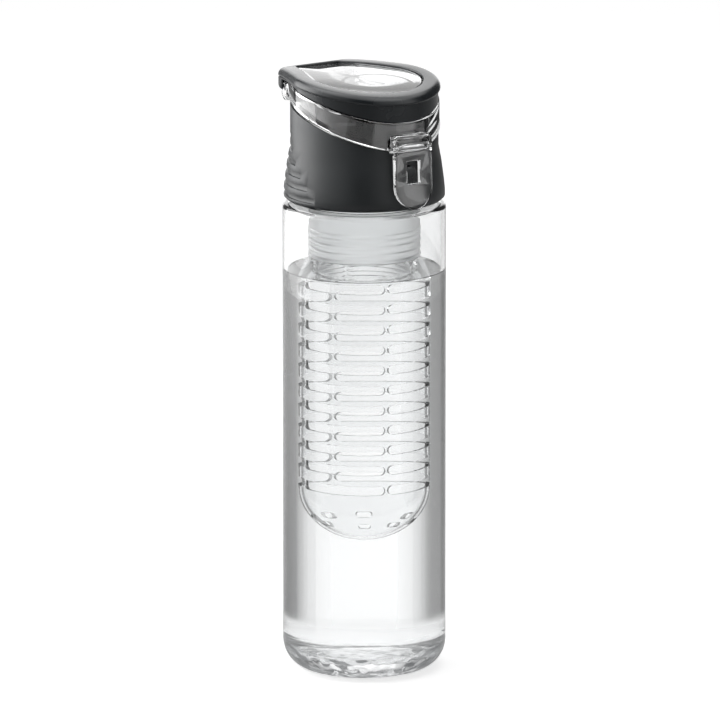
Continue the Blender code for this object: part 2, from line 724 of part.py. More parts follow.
def lid_outline(radius, forward, rear_reach, half_width, corner, inset=0.0):
    """Plan of the lid, inset evenly: front arc, flanks, rounded corners and a straight rear."""
    centre = Vector((half_width - corner, rear_reach - corner + forward))
    small = corner - inset
    lean = math.acos((radius - corner) / centre.length)
    edge = math.atan2(centre.x, centre.y) + lean
    half = []
    for step in range(FRONT_STEPS + 1):
        turn = math.pi + (edge - math.pi) * step / FRONT_STEPS
        half.append(((radius - inset) * math.sin(turn), (radius - inset) * math.cos(turn)))
    flank_end = (centre.x + small * math.sin(edge), centre.y + small * math.cos(edge))
    start = half[-1]
    for step in range(1, FLANK_STEPS + 1):
        share = step / FLANK_STEPS
        half.append(tuple(a + (b - a) * share for a, b in zip(start, flank_end)))
    for step in range(1, CORNER_STEPS + 1):
        turn = edge * (1 - step / CORNER_STEPS)
        half.append((centre.x + small * math.sin(turn), centre.y + small * math.cos(turn)))
    rear = [(centre.x * (REAR_STEPS - step - step) / REAR_STEPS, half[-1][1])
            for step in range(1, REAR_STEPS)]
    mirrored = [(-x, y) for x, y in half[1:]][::-1]
    return [(x, y - forward) for x, y in half + rear + mirrored]


def ring_plan(inset, rear_inset=None):
    """Plan of the dark ring, with its own inset at the thin rear corners and bar if given."""
    spare = 0 if rear_inset is None else inset - rear_inset
    return lid_outline(lid_radius, LID_FORWARD, lid_rear_reach + spare,
                       lid_rear_half_width + spare, LID_CORNER_ROUND, inset)


def window_plan(inset=0.0):
    """Plan of the window in the dark ring."""
    return lid_outline(window_radius, WINDOW_FORWARD, window_rear_reach,
                       window_rear_half_width, WINDOW_CORNER_ROUND, inset)


def at_heights(outline, height):
    """Lift a plan to a height, or to a side-view curve."""
    return [(x, y, height_at(height, y)) for x, y in outline]


def build_lid_ring():
    """Dark ring that frames the lid's window and curls down over the hinge."""
    skirt_bottom = raised(band_height, GAP / 2)

    def tail(y):
        start = lid_rear_reach - LID_CORNER_ROUND * TAIL_START_SHARE
        share = min(1, max(0, (y - start) / (LID_CORNER_ROUND * TAIL_RAMP_SHARE)))
        return skirt_bottom(y) + (ring_tail_height - skirt_bottom(y)) * share

    flange = raised(top_height, -RING_FLANGE)
    skirt_outer = ring_plan(RING_SKIRT_INSET, RING_SKIRT_INSET * RING_REAR_INSET_SHARE)
    skirt_inner = ring_plan(RING_SKIRT_INSET + RING_SKIRT_WALL, RING_REAR_WALL)
    under_plate = raised(top_height, -RING_PLATE)
    loops = [
        at_heights(skirt_inner, tail),
        at_heights(skirt_outer, tail),
        at_heights(skirt_outer, flange),
        at_heights(ring_plan(RING_EDGE_ROUND * CHAMFER_SHARE), flange),
        at_heights(ring_plan(0.0), raised(flange, RING_EDGE_ROUND)),
    ]
    for step in range(RING_ROUND_STEPS + 1):
        turn = math.pi / 2 * step / RING_ROUND_STEPS
        inset = RING_TOP_ROUND * (1 - math.cos(turn))
        drop = RING_TOP_ROUND * (1 - math.sin(turn))
        loops.append(at_heights(ring_plan(inset), raised(top_height, -drop)))
    loops += [
        at_heights(window_plan(), raised(top_height, -RING_WINDOW_DROP)),
        at_heights(window_plan(), under_plate),
        at_heights(skirt_inner, under_plate),
    ]
    ring = skin("lid_ring", loops, closed=True)
    dress(ring, (0.024, 0.027, 0.030), 0.30)
    return ring


def shell_plan(inset):
    """Plan of the clear shell, tucked in at the rear under the dark ring."""
    tuck = SHELL_REAR_TUCK
    return lid_outline(lid_radius, LID_FORWARD, lid_rear_reach - tuck,
                       lid_rear_half_width - tuck, LID_CORNER_ROUND, inset)


def inward(outline, share):
    """Scale a plan about the window's centre."""
    centre = -WINDOW_FORWARD
    return [(x * share, centre + (y - centre) * share) for x, y in outline]


def build_lid_shell():
    """Clear lid: band, window plate, seal boss, hinge cheeks and the latch's bracket."""
    seat = raised(rim_height, GAP)
    rear_start = hinge_back - KNUCKLE_RADIUS

    def foot(y):
        share = min(1, max(0, (y - rear_start) / (LID_CORNER_ROUND / 2)))
        return seat(y) + (hinge_height + SHELL_REAR_LIFT - seat(y)) * share

    band_top = raised(band_height, -GAP / 2)
    under_ring = raised(top_height, -RING_PLATE - GAP)
    plate_top = raised(top_height, -SHELL_PLATE_DROP)
    plate_under = raised(plate_top, -SHELL_WALL)
    upper_inset = RING_SKIRT_INSET + RING_SKIRT_WALL + GAP
    inner_upper = upper_inset + SHELL_UPPER_WALL
    inner_band = SHELL_BAND_INSET + SHELL_WALL
    window = window_plan(GAP)
    crown = window_plan(GAP + SHELL_EDGE_ROUND)
    centre = (0, -WINDOW_FORWARD)
    outer = [
        at_heights(shell_plan(SHELL_LIP_INSET), foot),
        at_heights(shell_plan(SHELL_LIP_INSET), raised(foot, SHELL_LIP_HEIGHT)),
        at_heights(shell_plan(SHELL_BAND_INSET), raised(foot, SHELL_LIP_HEIGHT + EMBED)),
        at_heights(shell_plan(SHELL_BAND_INSET), band_top),
        at_heights(shell_plan(upper_inset), band_top),
        at_heights(shell_plan(upper_inset), under_ring),
        at_heights(window, under_ring),
        at_heights(window, raised(plate_top, -SHELL_EDGE_ROUND)),
        at_heights(crown, plate_top),
        at_heights(inward(crown, PLATE_RING_SHARE), plate_top),
    ]
    inner = [
        at_heights(shell_plan(inner_band), foot),
        at_heights(shell_plan(inner_band), raised(band_top, -SHELL_WALL)),
        at_heights(shell_plan(inner_upper), raised(band_top, -SHELL_WALL)),
        at_heights(shell_plan(inner_upper), raised(under_ring, -SHELL_WALL)),
        at_heights(window_plan(SHELL_WALL), raised(under_ring, -SHELL_WALL)),
        at_heights(window_plan(SHELL_WALL), plate_under),
        at_heights(inward(window_plan(SHELL_WALL), PLATE_RING_SHARE), plate_under),
    ]
    bm = bmesh.new()
    rows = [[bm.verts.new(point) for point in loop] for loop in outer[::-1] + inner]
    for lower, upper in zip(rows, rows[1:]):
        for index in range(len(lower)):
            after = (index + 1) % len(lower)
            bm.faces.new((lower[index], lower[after], upper[after], upper[index]))
    for row, height in ((rows[0], plate_top), (rows[-1], plate_under)):
        pole = bm.verts.new((*centre, height(centre[1])))
        for index in range(len(row)):
            bm.faces.new((pole, row[index], row[(index + 1) % len(row)]))
    shell = make_object("lid_shell", bm)

    boss_bore = boss_radius - BOSS_WALL
    into_plate = raised(plate_under, EMBED)
    boss = revolve("seal_boss", [
        (boss_bore, boss_bottom), (boss_radius, boss_bottom),
        (boss_radius, into_plate), (boss_bore, into_plate),
    ], -SPOUT_FORWARD, SPOUT_FACETS)
    combine(shell, boss, "UNION")

    cheek_start = KNUCKLE_HALF_LENGTH + 2 * GAP
    top = cheek_top
    cheek_outline = arc(hinge_back, hinge_height, CHEEK_RADIUS, -180, 0, CHEEK_STEPS)
    cheek_outline += [(hinge_back + EMBED, top), (hinge_back - CHEEK_RADIUS, top)]
    for side, label in ((-1, "left"), (1, "right")):
        ends = sorted((side * cheek_start, side * (cheek_start + CHEEK_WIDTH)))
        combine(shell, prism("cheek_" + label, cheek_outline, *ends, "X"), "UNION")
    reach = cheek_start + CHEEK_WIDTH + OVERRUN
    bore = prism("cheek_bore", circle(hinge_back, hinge_height, hinge_bore_radius),
                 -reach, reach, "X")
    combine(shell, bore, "DIFFERENCE")

    half = BRACKET_HALF_WIDTH
    hollow = half - BRACKET_WALL
    roof = bracket_top - BRACKET_WALL
    corner = BRACKET_ROUND
    loops = []
    for place, bottom in ((bracket_reach, bracket_bottom), (bracket_heel_start, bracket_bottom),
                          (bracket_back, bracket_bottom + BRACKET_HEEL)):
        frame = [(half, bottom)]
        frame += arc(half - corner, bracket_top - corner, corner, 0, 90, BRACKET_STEPS)
        frame += arc(corner - half, bracket_top - corner, corner, 90, 180, BRACKET_STEPS)
        frame += [(-half, bottom), (-hollow, bottom), (-hollow, roof)]
        frame += [(hollow, roof), (hollow, bottom)]
        loops.append([(x, -place, z) for x, z in frame])
    combine(shell, skin("latch_bracket", loops), "UNION")
    pivot = prism("pivot_bore", circle(-pivot_forward, pivot_height, pivot_bore_radius, PIVOT_FACETS),
                  -half - OVERRUN, half + OVERRUN, "X")
    combine(shell, pivot, "DIFFERENCE")
    dress(shell, (0.93, 0.95, 0.96), 0.05, 0.0, 0.35)
    return shell


def build_spout_seal():
    """Clear soft cap under the lid that closes the spout."""
    low = spout_height + GAP
    disc_top = low + SEAL_THICKNESS
    radius = boss_radius - BOSS_WALL - GAP
    plug_radius = spout_bore_radius - GAP
    chamfer = PLUG_DEPTH * CHAMFER_SHARE
    seal = revolve("spout_seal", [
        (0, low - PLUG_DEPTH), (plug_radius - chamfer, low - PLUG_DEPTH),
        (plug_radius, low - PLUG_DEPTH + chamfer), (plug_radius, low), (radius, low),
        (radius, seal_top), (radius - SEAL_WALL, seal_top), (radius - SEAL_WALL, disc_top),
        (0, disc_top),
    ], -SPOUT_FORWARD, SPOUT_FACETS)
    dress(seal, (0.90, 0.91, 0.91), 0.25, 0.0, 0.6)
    return seal


def build_hinge_pin():
    """Steel pin through the collar's knuckle and the lid's cheeks."""
    reach = KNUCKLE_HALF_LENGTH + 2 * GAP + CHEEK_WIDTH
    outline = circle(hinge_back, hinge_height, HINGE_PIN_RADIUS)
    pin = prism("hinge_pin", outline, -reach, reach, "X")
    dress(pin, (0.55, 0.56, 0.58), 0.3, 1.0)
    return pin


def latch_inner_face(z):
    """Distance of the latch's inner face in front of the bottle's axis."""
    drop = (pivot_height - z) / (pivot_height - latch_bottom)
    face = pivot_forward - LATCH_THICKNESS / 2
    return face + LATCH_SPREAD * drop + LATCH_FLARE * max(0, drop) ** LATCH_FLARE_POWER


def build_latch():
    """Clear strap that swings on the lid and holds over the stud."""
    neck = bracket_bottom - GAP
    shoulder = neck - LATCH_SHOULDER
    inner_half = BRACKET_HALF_WIDTH - BRACKET_WALL - GAP
    round_centre = latch_bottom + LATCH_HALF_WIDTH
    rows = [(pivot_height, inner_half), (neck, inner_half), (shoulder, LATCH_HALF_WIDTH)]
    for row in range(1, LATCH_ROWS):
        rows.append((shoulder + (round_centre - shoulder) * row / LATCH_ROWS, LATCH_HALF_WIDTH))
    for step in range(LATCH_END_STEPS):
        turn = math.pi / 2 * step / LATCH_END_STEPS
        rows.append((round_centre - LATCH_HALF_WIDTH * math.sin(turn),
                     LATCH_HALF_WIDTH * math.cos(turn)))
    tip = LATCH_HALF_WIDTH * math.sin(math.pi / 2 / LATCH_END_STEPS / 2)
    rows.append((latch_bottom, tip))
    loops = []
    for z, half in rows:
        face = latch_inner_face(z)
        back = face + LATCH_THICKNESS
        loops.append([(-half, -face, z), (half, -face, z), (half, -back, z), (-half, -back, z)])
    latch = skin("latch", loops)
    barrel = prism("latch_barrel", circle(-pivot_forward, pivot_height, LATCH_BARREL_RADIUS),
                   -inner_half, inner_half, "X")
    combine(latch, barrel, "UNION")
    stub_end = BRACKET_HALF_WIDTH - GAP
    stub = prism("latch_stubs", circle(-pivot_forward, pivot_height, PIVOT_RADIUS, PIVOT_FACETS),
                 -stub_end, stub_end, "X")
    combine(latch, stub, "UNION")
    half = WINDOW_SLOT_WIDTH / 2
    near = pivot_forward - OVERRUN
    far = pivot_forward + LATCH_THICKNESS + OVERRUN
    window = block("latch_window", (-half, -far, window_slot_top - WINDOW_SLOT_HEIGHT),
                   (half, -near, window_slot_top))
    combine(latch, window, "DIFFERENCE")
    dress(latch, (0.93, 0.95, 0.96), 0.05, 0.0, 0.35)
    return latch


def main():
    for obj in list(bpy.data.objects):
        bpy.data.objects.remove(obj)
    build_bottle_body()
    gasket = build_neck_gasket()
    collar = build_collar()
    cup = build_spout_cup()
    sleeve = build_infuser_sleeve()
    basket = build_infuser_basket()
    ring = build_lid_ring()
    shell = build_lid_shell()
    seal = build_spout_seal()
    pin = build_hinge_pin()
    latch = build_latch()

    cap_axis = joint_empty("cap_axis", (0, 0, SHOULDER_HEIGHT))
    lid_axis = joint_empty("lid_axis", (0, hinge_back, hinge_height), cap_axis)
    latch_axis = joint_empty("latch_axis", (0, -pivot_forward, pivot_height), lid_axis)
    basket_axis = joint_empty("basket_axis", (0, 0, sleeve_bottom), cap_axis)
    carry(cap_axis, gasket, collar, cup, sleeve, pin)
    carry(lid_axis, ring, shell, seal)
    carry(latch_axis, latch)
    carry(basket_axis, basket)


main()
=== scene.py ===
"""Clear infuser bottle with a flip-up lid: looks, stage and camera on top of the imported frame."""

import math

import bpy
from mathutils import Matrix, Vector


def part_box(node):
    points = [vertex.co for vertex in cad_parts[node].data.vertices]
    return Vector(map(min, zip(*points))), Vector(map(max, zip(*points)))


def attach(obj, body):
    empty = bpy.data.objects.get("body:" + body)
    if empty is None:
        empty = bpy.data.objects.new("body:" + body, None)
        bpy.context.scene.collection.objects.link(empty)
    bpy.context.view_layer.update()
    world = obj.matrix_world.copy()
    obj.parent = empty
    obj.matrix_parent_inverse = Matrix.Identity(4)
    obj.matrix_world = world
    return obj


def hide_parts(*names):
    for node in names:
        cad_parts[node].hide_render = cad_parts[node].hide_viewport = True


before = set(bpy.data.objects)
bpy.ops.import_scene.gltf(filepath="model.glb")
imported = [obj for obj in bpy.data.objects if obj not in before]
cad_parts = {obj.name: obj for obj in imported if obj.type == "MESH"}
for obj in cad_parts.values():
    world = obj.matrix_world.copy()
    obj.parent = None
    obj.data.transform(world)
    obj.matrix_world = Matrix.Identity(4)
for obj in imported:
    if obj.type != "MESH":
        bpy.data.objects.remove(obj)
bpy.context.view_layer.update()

bl_info = {
    "name": "Clear infuser bottle",
    "version": (1, 0, 0),
    "blender": (4, 5, 0),
    "location": "3D View > Sidebar > Bottle",
    "description": "Builds a clear drinking bottle with a fruit basket and a flip-up lid",
    "category": "Add Mesh",
}


WHITE = (1.0, 1.0, 1.0, 1.0)
MERGE = 1e-6
RIPPLE, RIPPLE_DEPTH = 0.02, 0.00002
# Lump depth of the body's foot, and the strength of its faint painted glow.
LUMP_DEPTH, FOOT_PAINTED_GLOW = 0.0010, 0.06
RIDGE_HEIGHTS, RIDGE_DEPTH = (0.1817, 0.1848, 0.1881, 0.1907, 0.1929), 0.0003
EDGE_LIFT, EDGE_ZONE = 0.001, 0.003
CAMERA_AZIMUTH, CAMERA_REACH, CAMERA_HEIGHT = math.radians(35.0), 5.0, 1.223
AIM_HEIGHT, AIM_PIXEL, PICTURE_SIDE, PIXELS_PER_METRE = 0.150, (364.3, 324.4), 720.0, 2335.0
FLOOR_SEEN, FLOOR_THROUGH, CARD_STRENGTH, PANEL_STRENGTH = 0.62, 0.48, 1.12, 4.0


def length(name, description, default):
    return bpy.props.FloatProperty(name=name, description=description, default=default, unit="LENGTH",
                                   precision=5)


def count(name, description, default):
    return bpy.props.IntProperty(name=name, description=description, default=default, min=1)


def turn(name, description, degrees):
    return bpy.props.FloatProperty(name=name, description=description, default=math.radians(degrees),
                                   subtype="ANGLE")


def tint(name, description, default):
    return bpy.props.FloatVectorProperty(name=name, description=description, default=default, subtype="COLOR",
                                         min=0.0, max=1.0)


class BottleSizes(bpy.types.PropertyGroup):
    round_steps: count("Steps round", "Steps in a full turn of the round pieces", 128)
    body_radius: length("Body radius", "Outside of the clear body", 0.035)
    body_wall: length("Body wall", "Thickness of the body's side", 0.002)
    base_round: length("Base round", "Round between the side and the foot", 0.0125)
    push_up: length("Push-up", "Height of the hollow under the base", 0.003)
    foot_radius: length("Foot radius", "Middle of the ring that the bottle stands on", 0.0195)
    floor_height: length("Floor", "Inside bottom of the body", 0.008)
    shoulder_height: length("Shoulder", "Top of the body's side", 0.2038)
    shoulder_wall: length("Shoulder wall", "Thickness of the body's top", 0.0008)
    neck_radius: length("Neck radius", "Outside of the neck", 0.02764)
    neck_bore: length("Neck bore", "Inside of the neck", 0.02564)
    neck_top: length("Neck top", "Rim of the neck", 0.219)
    water_top: length("Water level", "Height of the water", 0.1747)
    water_overlap: length("Water overlap", "Water inside the clear wall", 0.00015)
    sleeve_radius: length("Sleeve radius", "Outside of the frosted sleeve", 0.02414)
    sleeve_bore: length("Sleeve bore", "Inside of the frosted sleeve", 0.02289)
    sleeve_bottom: length("Sleeve bottom", "Lower end of the frosted sleeve", 0.181)
    sleeve_top: length("Sleeve top", "Upper end of the frosted sleeve", 0.2209)
    basket_radius: length("Basket radius", "Outside of the basket", 0.02104)
    basket_wall: length("Basket wall", "Thickness of the basket", 0.0015)
    basket_bottom: length("Basket bottom", "Lowest point of the basket's dome", 0.058)
    flange_radius: length("Flange radius", "Outside of the basket's upper band", 0.0225)
    flange_bottom: length("Flange bottom", "Lower edge of the upper band", 0.175)
    flange_top: length("Flange top", "Upper edge of the upper band", 0.1807)
    basket_neck: length("Basket neck", "Outside of the basket's neck in the sleeve", 0.02111)
    basket_top: length("Basket top", "Rim of the basket's neck", 0.199)
    slot_first: length("First slot", "Lower edge of the lowest slot", 0.0803)
    slot_pitch: length("Slot pitch", "Height from slot to slot", 0.00877)
    slot_height: length("Slot height", "Opening of a slot", 0.004)
    slot_rows: count("Slot rows", "Slots above each other", 11)
    rib_direction: turn("Rib direction", "Direction of the front thin rib", -101.0)
    thin_rib: turn("Thin rib", "Angle of a thin rib", 3.4)
    wide_rib: turn("Wide rib", "Angle of a wide rib", 7.0)
    narrow_side: turn("Narrow side", "Angle from a thin rib to the next wide one", 75.0)
    drain_sweep: turn("Drain sweep", "Angle that a drain covers", 16.0)
    drain_height: length("Drain height", "Opening of a drain", 0.0022)
    drain_lift: length("Drain lift", "Middle of the drains above the basket's bottom", 0.0082)


class LidSizes(bpy.types.PropertyGroup):
    radius: length("Lid radius", "Front arc of the lid", 0.0318)
    forward: length("Lid forward", "Front arc's centre in front of the bottle's axis", 0.0012)
    rear: length("Lid rear", "Straight rear edge behind the axis", 0.0396)
    half_width: length("Lid rear half width", "Half of the rear edge", 0.0192)
    corner: length("Lid corner", "Round at the rear corners", 0.0040)
    window_radius: length("Window radius", "Front arc of the window", 0.0243)
    window_forward: length("Window forward", "Its centre in front of the axis", 0.0015)
    window_rear: length("Window rear", "Its rear edge behind the axis", 0.0362)
    window_half_width: length("Window rear half width", "Half of its rear edge", 0.0120)
    window_corner: length("Window corner", "Round at its rear corners", 0.0035)
    side_reach: length("Side view reach", "Where the front and rear heights below hold", 0.0327)
    rim_front: length("Rim front", "Collar's rim in front", 0.2307)
    rim_middle: length("Rim middle", "Collar's rim over the axis", 0.2432)
    rim_rear: length("Rim rear", "Collar's rim behind", 0.2478)
    band_front: length("Band front", "Top of the clear band in front", 0.2432)
    band_middle: length("Band middle", "Top of the clear band over the axis", 0.2529)
    band_rear: length("Band rear", "Top of the clear band behind", 0.2540)
    top_front: length("Top front", "Top of the ring in front", 0.2545)
    top_middle: length("Top middle", "Top of the ring over the axis", 0.2588)
    top_rear: length("Top rear", "Top of the ring behind", 0.2586)
    gap: length("Gap", "Space between neighbours", 0.0003)
    wall: length("Shell wall", "Thickness of the band and the plate", 0.0018)
    upper_wall: length("Upper wall", "Thickness of the shell inside the ring's skirt", 0.0012)
    band_inset: length("Band inset", "Band inside the lid's outline", 0.0004)
    lip_height: length("Lip height", "Height of the band's lower lip", 0.0010)
    rear_tuck: length("Rear tuck", "Shell inside the ring at the rear", 0.0014)
    plate_drop: length("Plate drop", "Window plate under the ring's top", 0.0008)
    ring_plate: length("Ring plate", "Thickness of the ring's top", 0.0012)
    flange: length("Flange", "Height of the ring's overhanging edge", 0.0038)
    edge_round: length("Edge round", "Lower round of that edge", 0.0009)
    top_round: length("Top round", "Upper round of that edge", 0.0028)
    skirt_inset: length("Skirt inset", "Ring's skirt inside its edge", 0.0009)
    skirt_wall: length("Skirt wall", "Thickness of the skirt", 0.0014)
    rear_wall: length("Rear wall", "Thickness of the skirt behind", 0.0010)
    tail_lift: length("Tail lift", "Rear skirt's lower edge above the hinge", 0.0013)
    tail_bend: length("Tail bend", "How far the rear skirt bends forward below", 0.0012)
    boss_radius: length("Boss radius", "Outside of the seal's boss", 0.0157)
    boss_wall: length("Boss wall", "Thickness of the boss", 0.0014)
    boss_bottom: length("Boss bottom", "Lower edge of the boss", 0.2505)
    boss_forward: length("Boss forward", "Boss in front of the axis", 0.0100)
    hinge_back: length("Hinge back", "Hinge's axis behind the bottle's", 0.0340)
    hinge_height: length("Hinge height", "Height of the hinge's axis", 0.2475)
    hinge_bore: length("Hinge bore", "Radius of the cheeks' bore", 0.00135)
    rear_lift: length("Rear lift", "Shell's rear lower edge above the hinge", 0.0036)
    cheek_radius: length("Cheek radius", "Round end of the cheeks", 0.0033)
    cheek_top: length("Cheek top", "Where the cheeks meet the shell", 0.2535)
    cheek_start: length("Cheek start", "Inner face of a cheek from the middle", 0.0152)
    cheek_width: length("Cheek width", "Thickness of a cheek", 0.0020)
    pivot_forward: length("Pivot forward", "Latch's axis in front of the bottle's", 0.0353)
    pivot_height: length("Pivot height", "Height of the latch's axis", 0.2332)
    pivot_bore: length("Pivot bore", "Radius of the bracket's bores", 0.0010)
    bracket_half_width: length("Bracket half width", "Half of the bracket", 0.0095)
    bracket_wall: length("Bracket wall", "Thickness of the bracket", 0.0016)
    bracket_bottom: length("Bracket bottom", "Lower edge of the bracket", 0.2310)
    bracket_top: length("Bracket top", "Upper edge of the bracket", 0.2384)
    bracket_heel: length("Bracket heel", "Rise of the lower edge at the band", 0.0022)
    bracket_round: length("Bracket round", "Round of the upper corners", 0.0025)


class BottleFinish(bpy.types.PropertyGroup):
    charcoal: tint("Charcoal", "Satin plastic of the collar", (0.008, 0.0100, 0.0115))
    ring_grey: tint("Ring grey", "Satin plastic of the lid's ring", (0.012, 0.0145, 0.0165))
    cup_black: tint("Cup black", "Glossy plastic of the inner cup", (0.010, 0.010, 0.011))
    clear: tint("Clear", "Tint of the clear plastic", (0.94, 0.945, 0.947))
    # Painted shade: clear pieces are darkened toward this tint where they are seen along the wall.
    clear_edge_shade: tint("Clear edge", "Tint of the clear plastic seen along its wall", (0.66, 0.68, 0.69))
    # Painted shade: the basket's slot and drain faces are darkened toward this tint.
    cut_face_shade_tint: tint("Cut edge", "Tint of the basket's cut faces", (0.02, 0.023, 0.025))
    water: tint("Water", "Tint of the water", (1.0, 1.0, 1.0))
    # Painted shade: the water is darkened toward this tint at its sides.
    water_edge_shade: tint("Water edge", "Tint of the water at its sides", (0.60, 0.62, 0.63))
    frosted: tint("Frosted", "Tint of the frosted sleeve", (0.98, 0.985, 0.985))
    silicone: tint("Silicone", "Soft seal and gasket", (0.60, 0.61, 0.61))
    steel: tint("Steel", "Hinge pin", (0.62, 0.61, 0.60))
    floor: tint("Floor", "Pale floor", (0.80, 0.80, 0.80))


def sizes():
    return bpy.context.scene.bottle_sizes


def lid_sizes():
    return bpy.context.scene.bottle_lid


def finishes():
    return bpy.context.scene.bottle_finish


def only(obj):
    """Leave obj as the one selected and active object."""
    if bpy.context.object and bpy.context.object.mode != "OBJECT":
        bpy.ops.object.mode_set(mode="OBJECT")
    bpy.ops.object.select_all(action="DESELECT")
    obj.select_set(True)
    bpy.context.view_layer.objects.active = obj


def applied(obj, kind, **values):
    """Add a modifier of that kind and apply it."""
    only(obj)
    modifier = obj.modifiers.new(kind.title(), kind)
    for key, value in values.items():
        setattr(modifier, key, value)
    bpy.ops.object.modifier_apply(modifier=modifier.name)
    return obj


def bevelled(obj, width, degrees=50.0):
    return applied(obj, "BEVEL", width=width, segments=2, limit_method="ANGLE",
                   angle_limit=math.radians(degrees))


def smoothed(obj, degrees=32.0):
    only(obj)
    bpy.ops.object.shade_smooth_by_angle(angle=math.radians(degrees))
    return obj


def begin_edit():
    """Enter edit mode with everything selected."""
    bpy.ops.object.mode_set(mode="EDIT")
    bpy.ops.mesh.select_all(action="SELECT")


def end_edit():
    """Point the normals outward and leave edit mode."""
    bpy.ops.mesh.select_all(action="SELECT")
    bpy.ops.mesh.normals_make_consistent(inside=False)
    bpy.ops.object.mode_set(mode="OBJECT")


def trace(name, points):
    """A line from point to point, drawn out of a plane that is first merged to one vertex."""
    bpy.ops.object.select_all(action="DESELECT")
    bpy.ops.mesh.primitive_plane_add(size=0.002)
    line = bpy.context.object
    line.name = line.data.name = name
    bpy.ops.object.mode_set(mode="EDIT")
    bpy.ops.mesh.select_mode(type="VERT")
    bpy.ops.mesh.select_all(action="SELECT")
    bpy.ops.mesh.merge(type="CENTER")
    bpy.ops.transform.translate(value=points[0])
    for start, end in zip(points, points[1:]):
        step = Vector(end) - Vector(start)
        bpy.ops.mesh.extrude_region_move(TRANSFORM_OT_translate={"value": step})
    bpy.ops.object.mode_set(mode="OBJECT")
    return line


def softened(corners, closed, arc_steps=8):
    """The section through corners (radius, height, round), with a true arc at each corner."""
    points = []
    last = len(corners) - 1
    for index, (r, z, radius) in enumerate(corners):
        here = Vector((r, z))
        if radius == 0 or (not closed and index in (0, last)):
            points.append(here)
            continue
        before = (Vector(corners[index - 1][:2]) - here).normalized()
        after = (Vector(corners[(index + 1) % (last + 1)][:2]) - here).normalized()
        angle = before.angle(after)
        centre = here + (before + after).normalized() * radius / math.sin(angle / 2)
        start = here + before * radius / math.tan(angle / 2) - centre
        sweep = math.pi - angle
        side = 1 if before.cross(after) < 0 else -1
        steps = max(2, math.ceil(arc_steps * sweep / (math.pi / 2)))
        for step in range(steps + 1):
            points.append(centre + Matrix.Rotation(side * sweep * step / steps, 2) @ start)
    return points


def turned(name, corners, closed=False, steps=None, centre_y=0.0, arc_steps=8):
    """A round piece: the softened section spun about the upright axis through centre_y."""
    section = softened(corners, closed, arc_steps)
    if closed:
        section.append(section[0])
    piece = trace(name, [(0.0, centre_y - point.x, point.y) for point in section])
    begin_edit()
    bpy.ops.mesh.spin(steps=steps or sizes().round_steps, angle=math.tau, use_auto_merge=True,
                      center=(0.0, centre_y, 0.0), axis=(0.0, 0.0, 1.0))
    bpy.ops.mesh.select_all(action="SELECT")
    bpy.ops.mesh.remove_doubles(threshold=MERGE)
    end_edit()
    return piece


def round_ended(name, radius, half_sweep, half_height, near, far):
    """A tool for a round-ended slot in a round wall: its outline, drawn inward and outward."""
    cap = half_height / radius
    bends = [math.pi / 2 * step / 6 for step in range(7)]
    edge = [(-half_sweep + cap * (1 - math.cos(bend)), math.sin(bend)) for bend in bends]
    middle = [(-half_sweep + cap + (2 * half_sweep - 2 * cap) * step / 20, 1.0) for step in range(1, 20)]
    rows = edge + middle + [(-angle, rise) for angle, rise in reversed(edge)]
    lines = []
    for sign in (-1, 1):
        lines.append(trace(name, [(near * radius * math.sin(angle), -near * radius * math.cos(angle),
                                   sign * half_height * rise) for angle, rise in rows]))
    tool = joined(name, lines)
    begin_edit()
    bpy.ops.mesh.bridge_edge_loops()
    bpy.ops.mesh.select_all(action="SELECT")
    bpy.ops.mesh.remove_doubles(threshold=MERGE)
    bpy.ops.mesh.extrude_region_move()
    bpy.ops.transform.resize(value=(far / near, far / near, 1.0), center_override=(0.0, 0.0, 0.0))
    end_edit()
    return tool


def lofted(name, loops, closed=False):
    """A skin over loops of as many points each, drawn out of a circle; its ends are filled."""
    sides = len(loops[0])
    if closed:
        loops = loops + [loops[0]]
    bpy.ops.object.select_all(action="DESELECT")
    bpy.ops.mesh.primitive_circle_add(vertices=sides, radius=1.0, fill_type="NOTHING")
    piece = bpy.context.object
    piece.name = piece.data.name = name
    begin_edit()
    for _ in loops[1:]:
        bpy.ops.mesh.extrude_region_move(TRANSFORM_OT_translate={"value": (0.0, 0.0, 1.0)})
    bpy.ops.object.mode_set(mode="OBJECT")
    for vertex in piece.data.vertices:
        share = math.atan2(vertex.co.x, vertex.co.y) / math.tau
        vertex.co = loops[round(vertex.co.z)][round(share * sides) % sides]
    begin_edit()
    bpy.ops.mesh.remove_doubles(threshold=MERGE)
    bpy.ops.mesh.fill_holes(sides=0)
    end_edit()
    return piece


def plan(radius, forward, rear, half_width, corner, inset):
    """The lid from above, inset evenly: front arc, flanks, round corners and a straight rear."""
    front_steps, flank_steps, corner_steps, rear_steps = 46, 6, 8, 8
    centre = Vector((half_width - corner, rear - corner + forward))
    small = corner - inset
    edge = math.atan2(centre.x, centre.y) + math.acos((radius - corner) / centre.length)
    half = []
    for step in range(front_steps + 1):
        angle = math.pi + (edge - math.pi) * step / front_steps
        half.append(((radius - inset) * math.sin(angle), (radius - inset) * math.cos(angle)))
    start = half[-1]
    end = (centre.x + small * math.sin(edge), centre.y + small * math.cos(edge))
    for step in range(1, flank_steps + 1):
        share = step / flank_steps
        half.append((start[0] + (end[0] - start[0]) * share, start[1] + (end[1] - start[1]) * share))
    for step in range(1, corner_steps + 1):
        angle = edge * (1 - step / corner_steps)
        half.append((centre.x + small * math.sin(angle), centre.y + small * math.cos(angle)))
    back = [(centre.x * (1 - 2 * step / rear_steps), half[-1][1]) for step in range(1, rear_steps)]
    return [(x, y - forward) for x, y in half + back + [(-x, y) for x, y in half[1:]][::-1]]


def lid_plan(inset, spare=0.0):
    s = lid_sizes()
    return plan(s.radius, s.forward, s.rear + spare, s.half_width + spare, s.corner, inset)


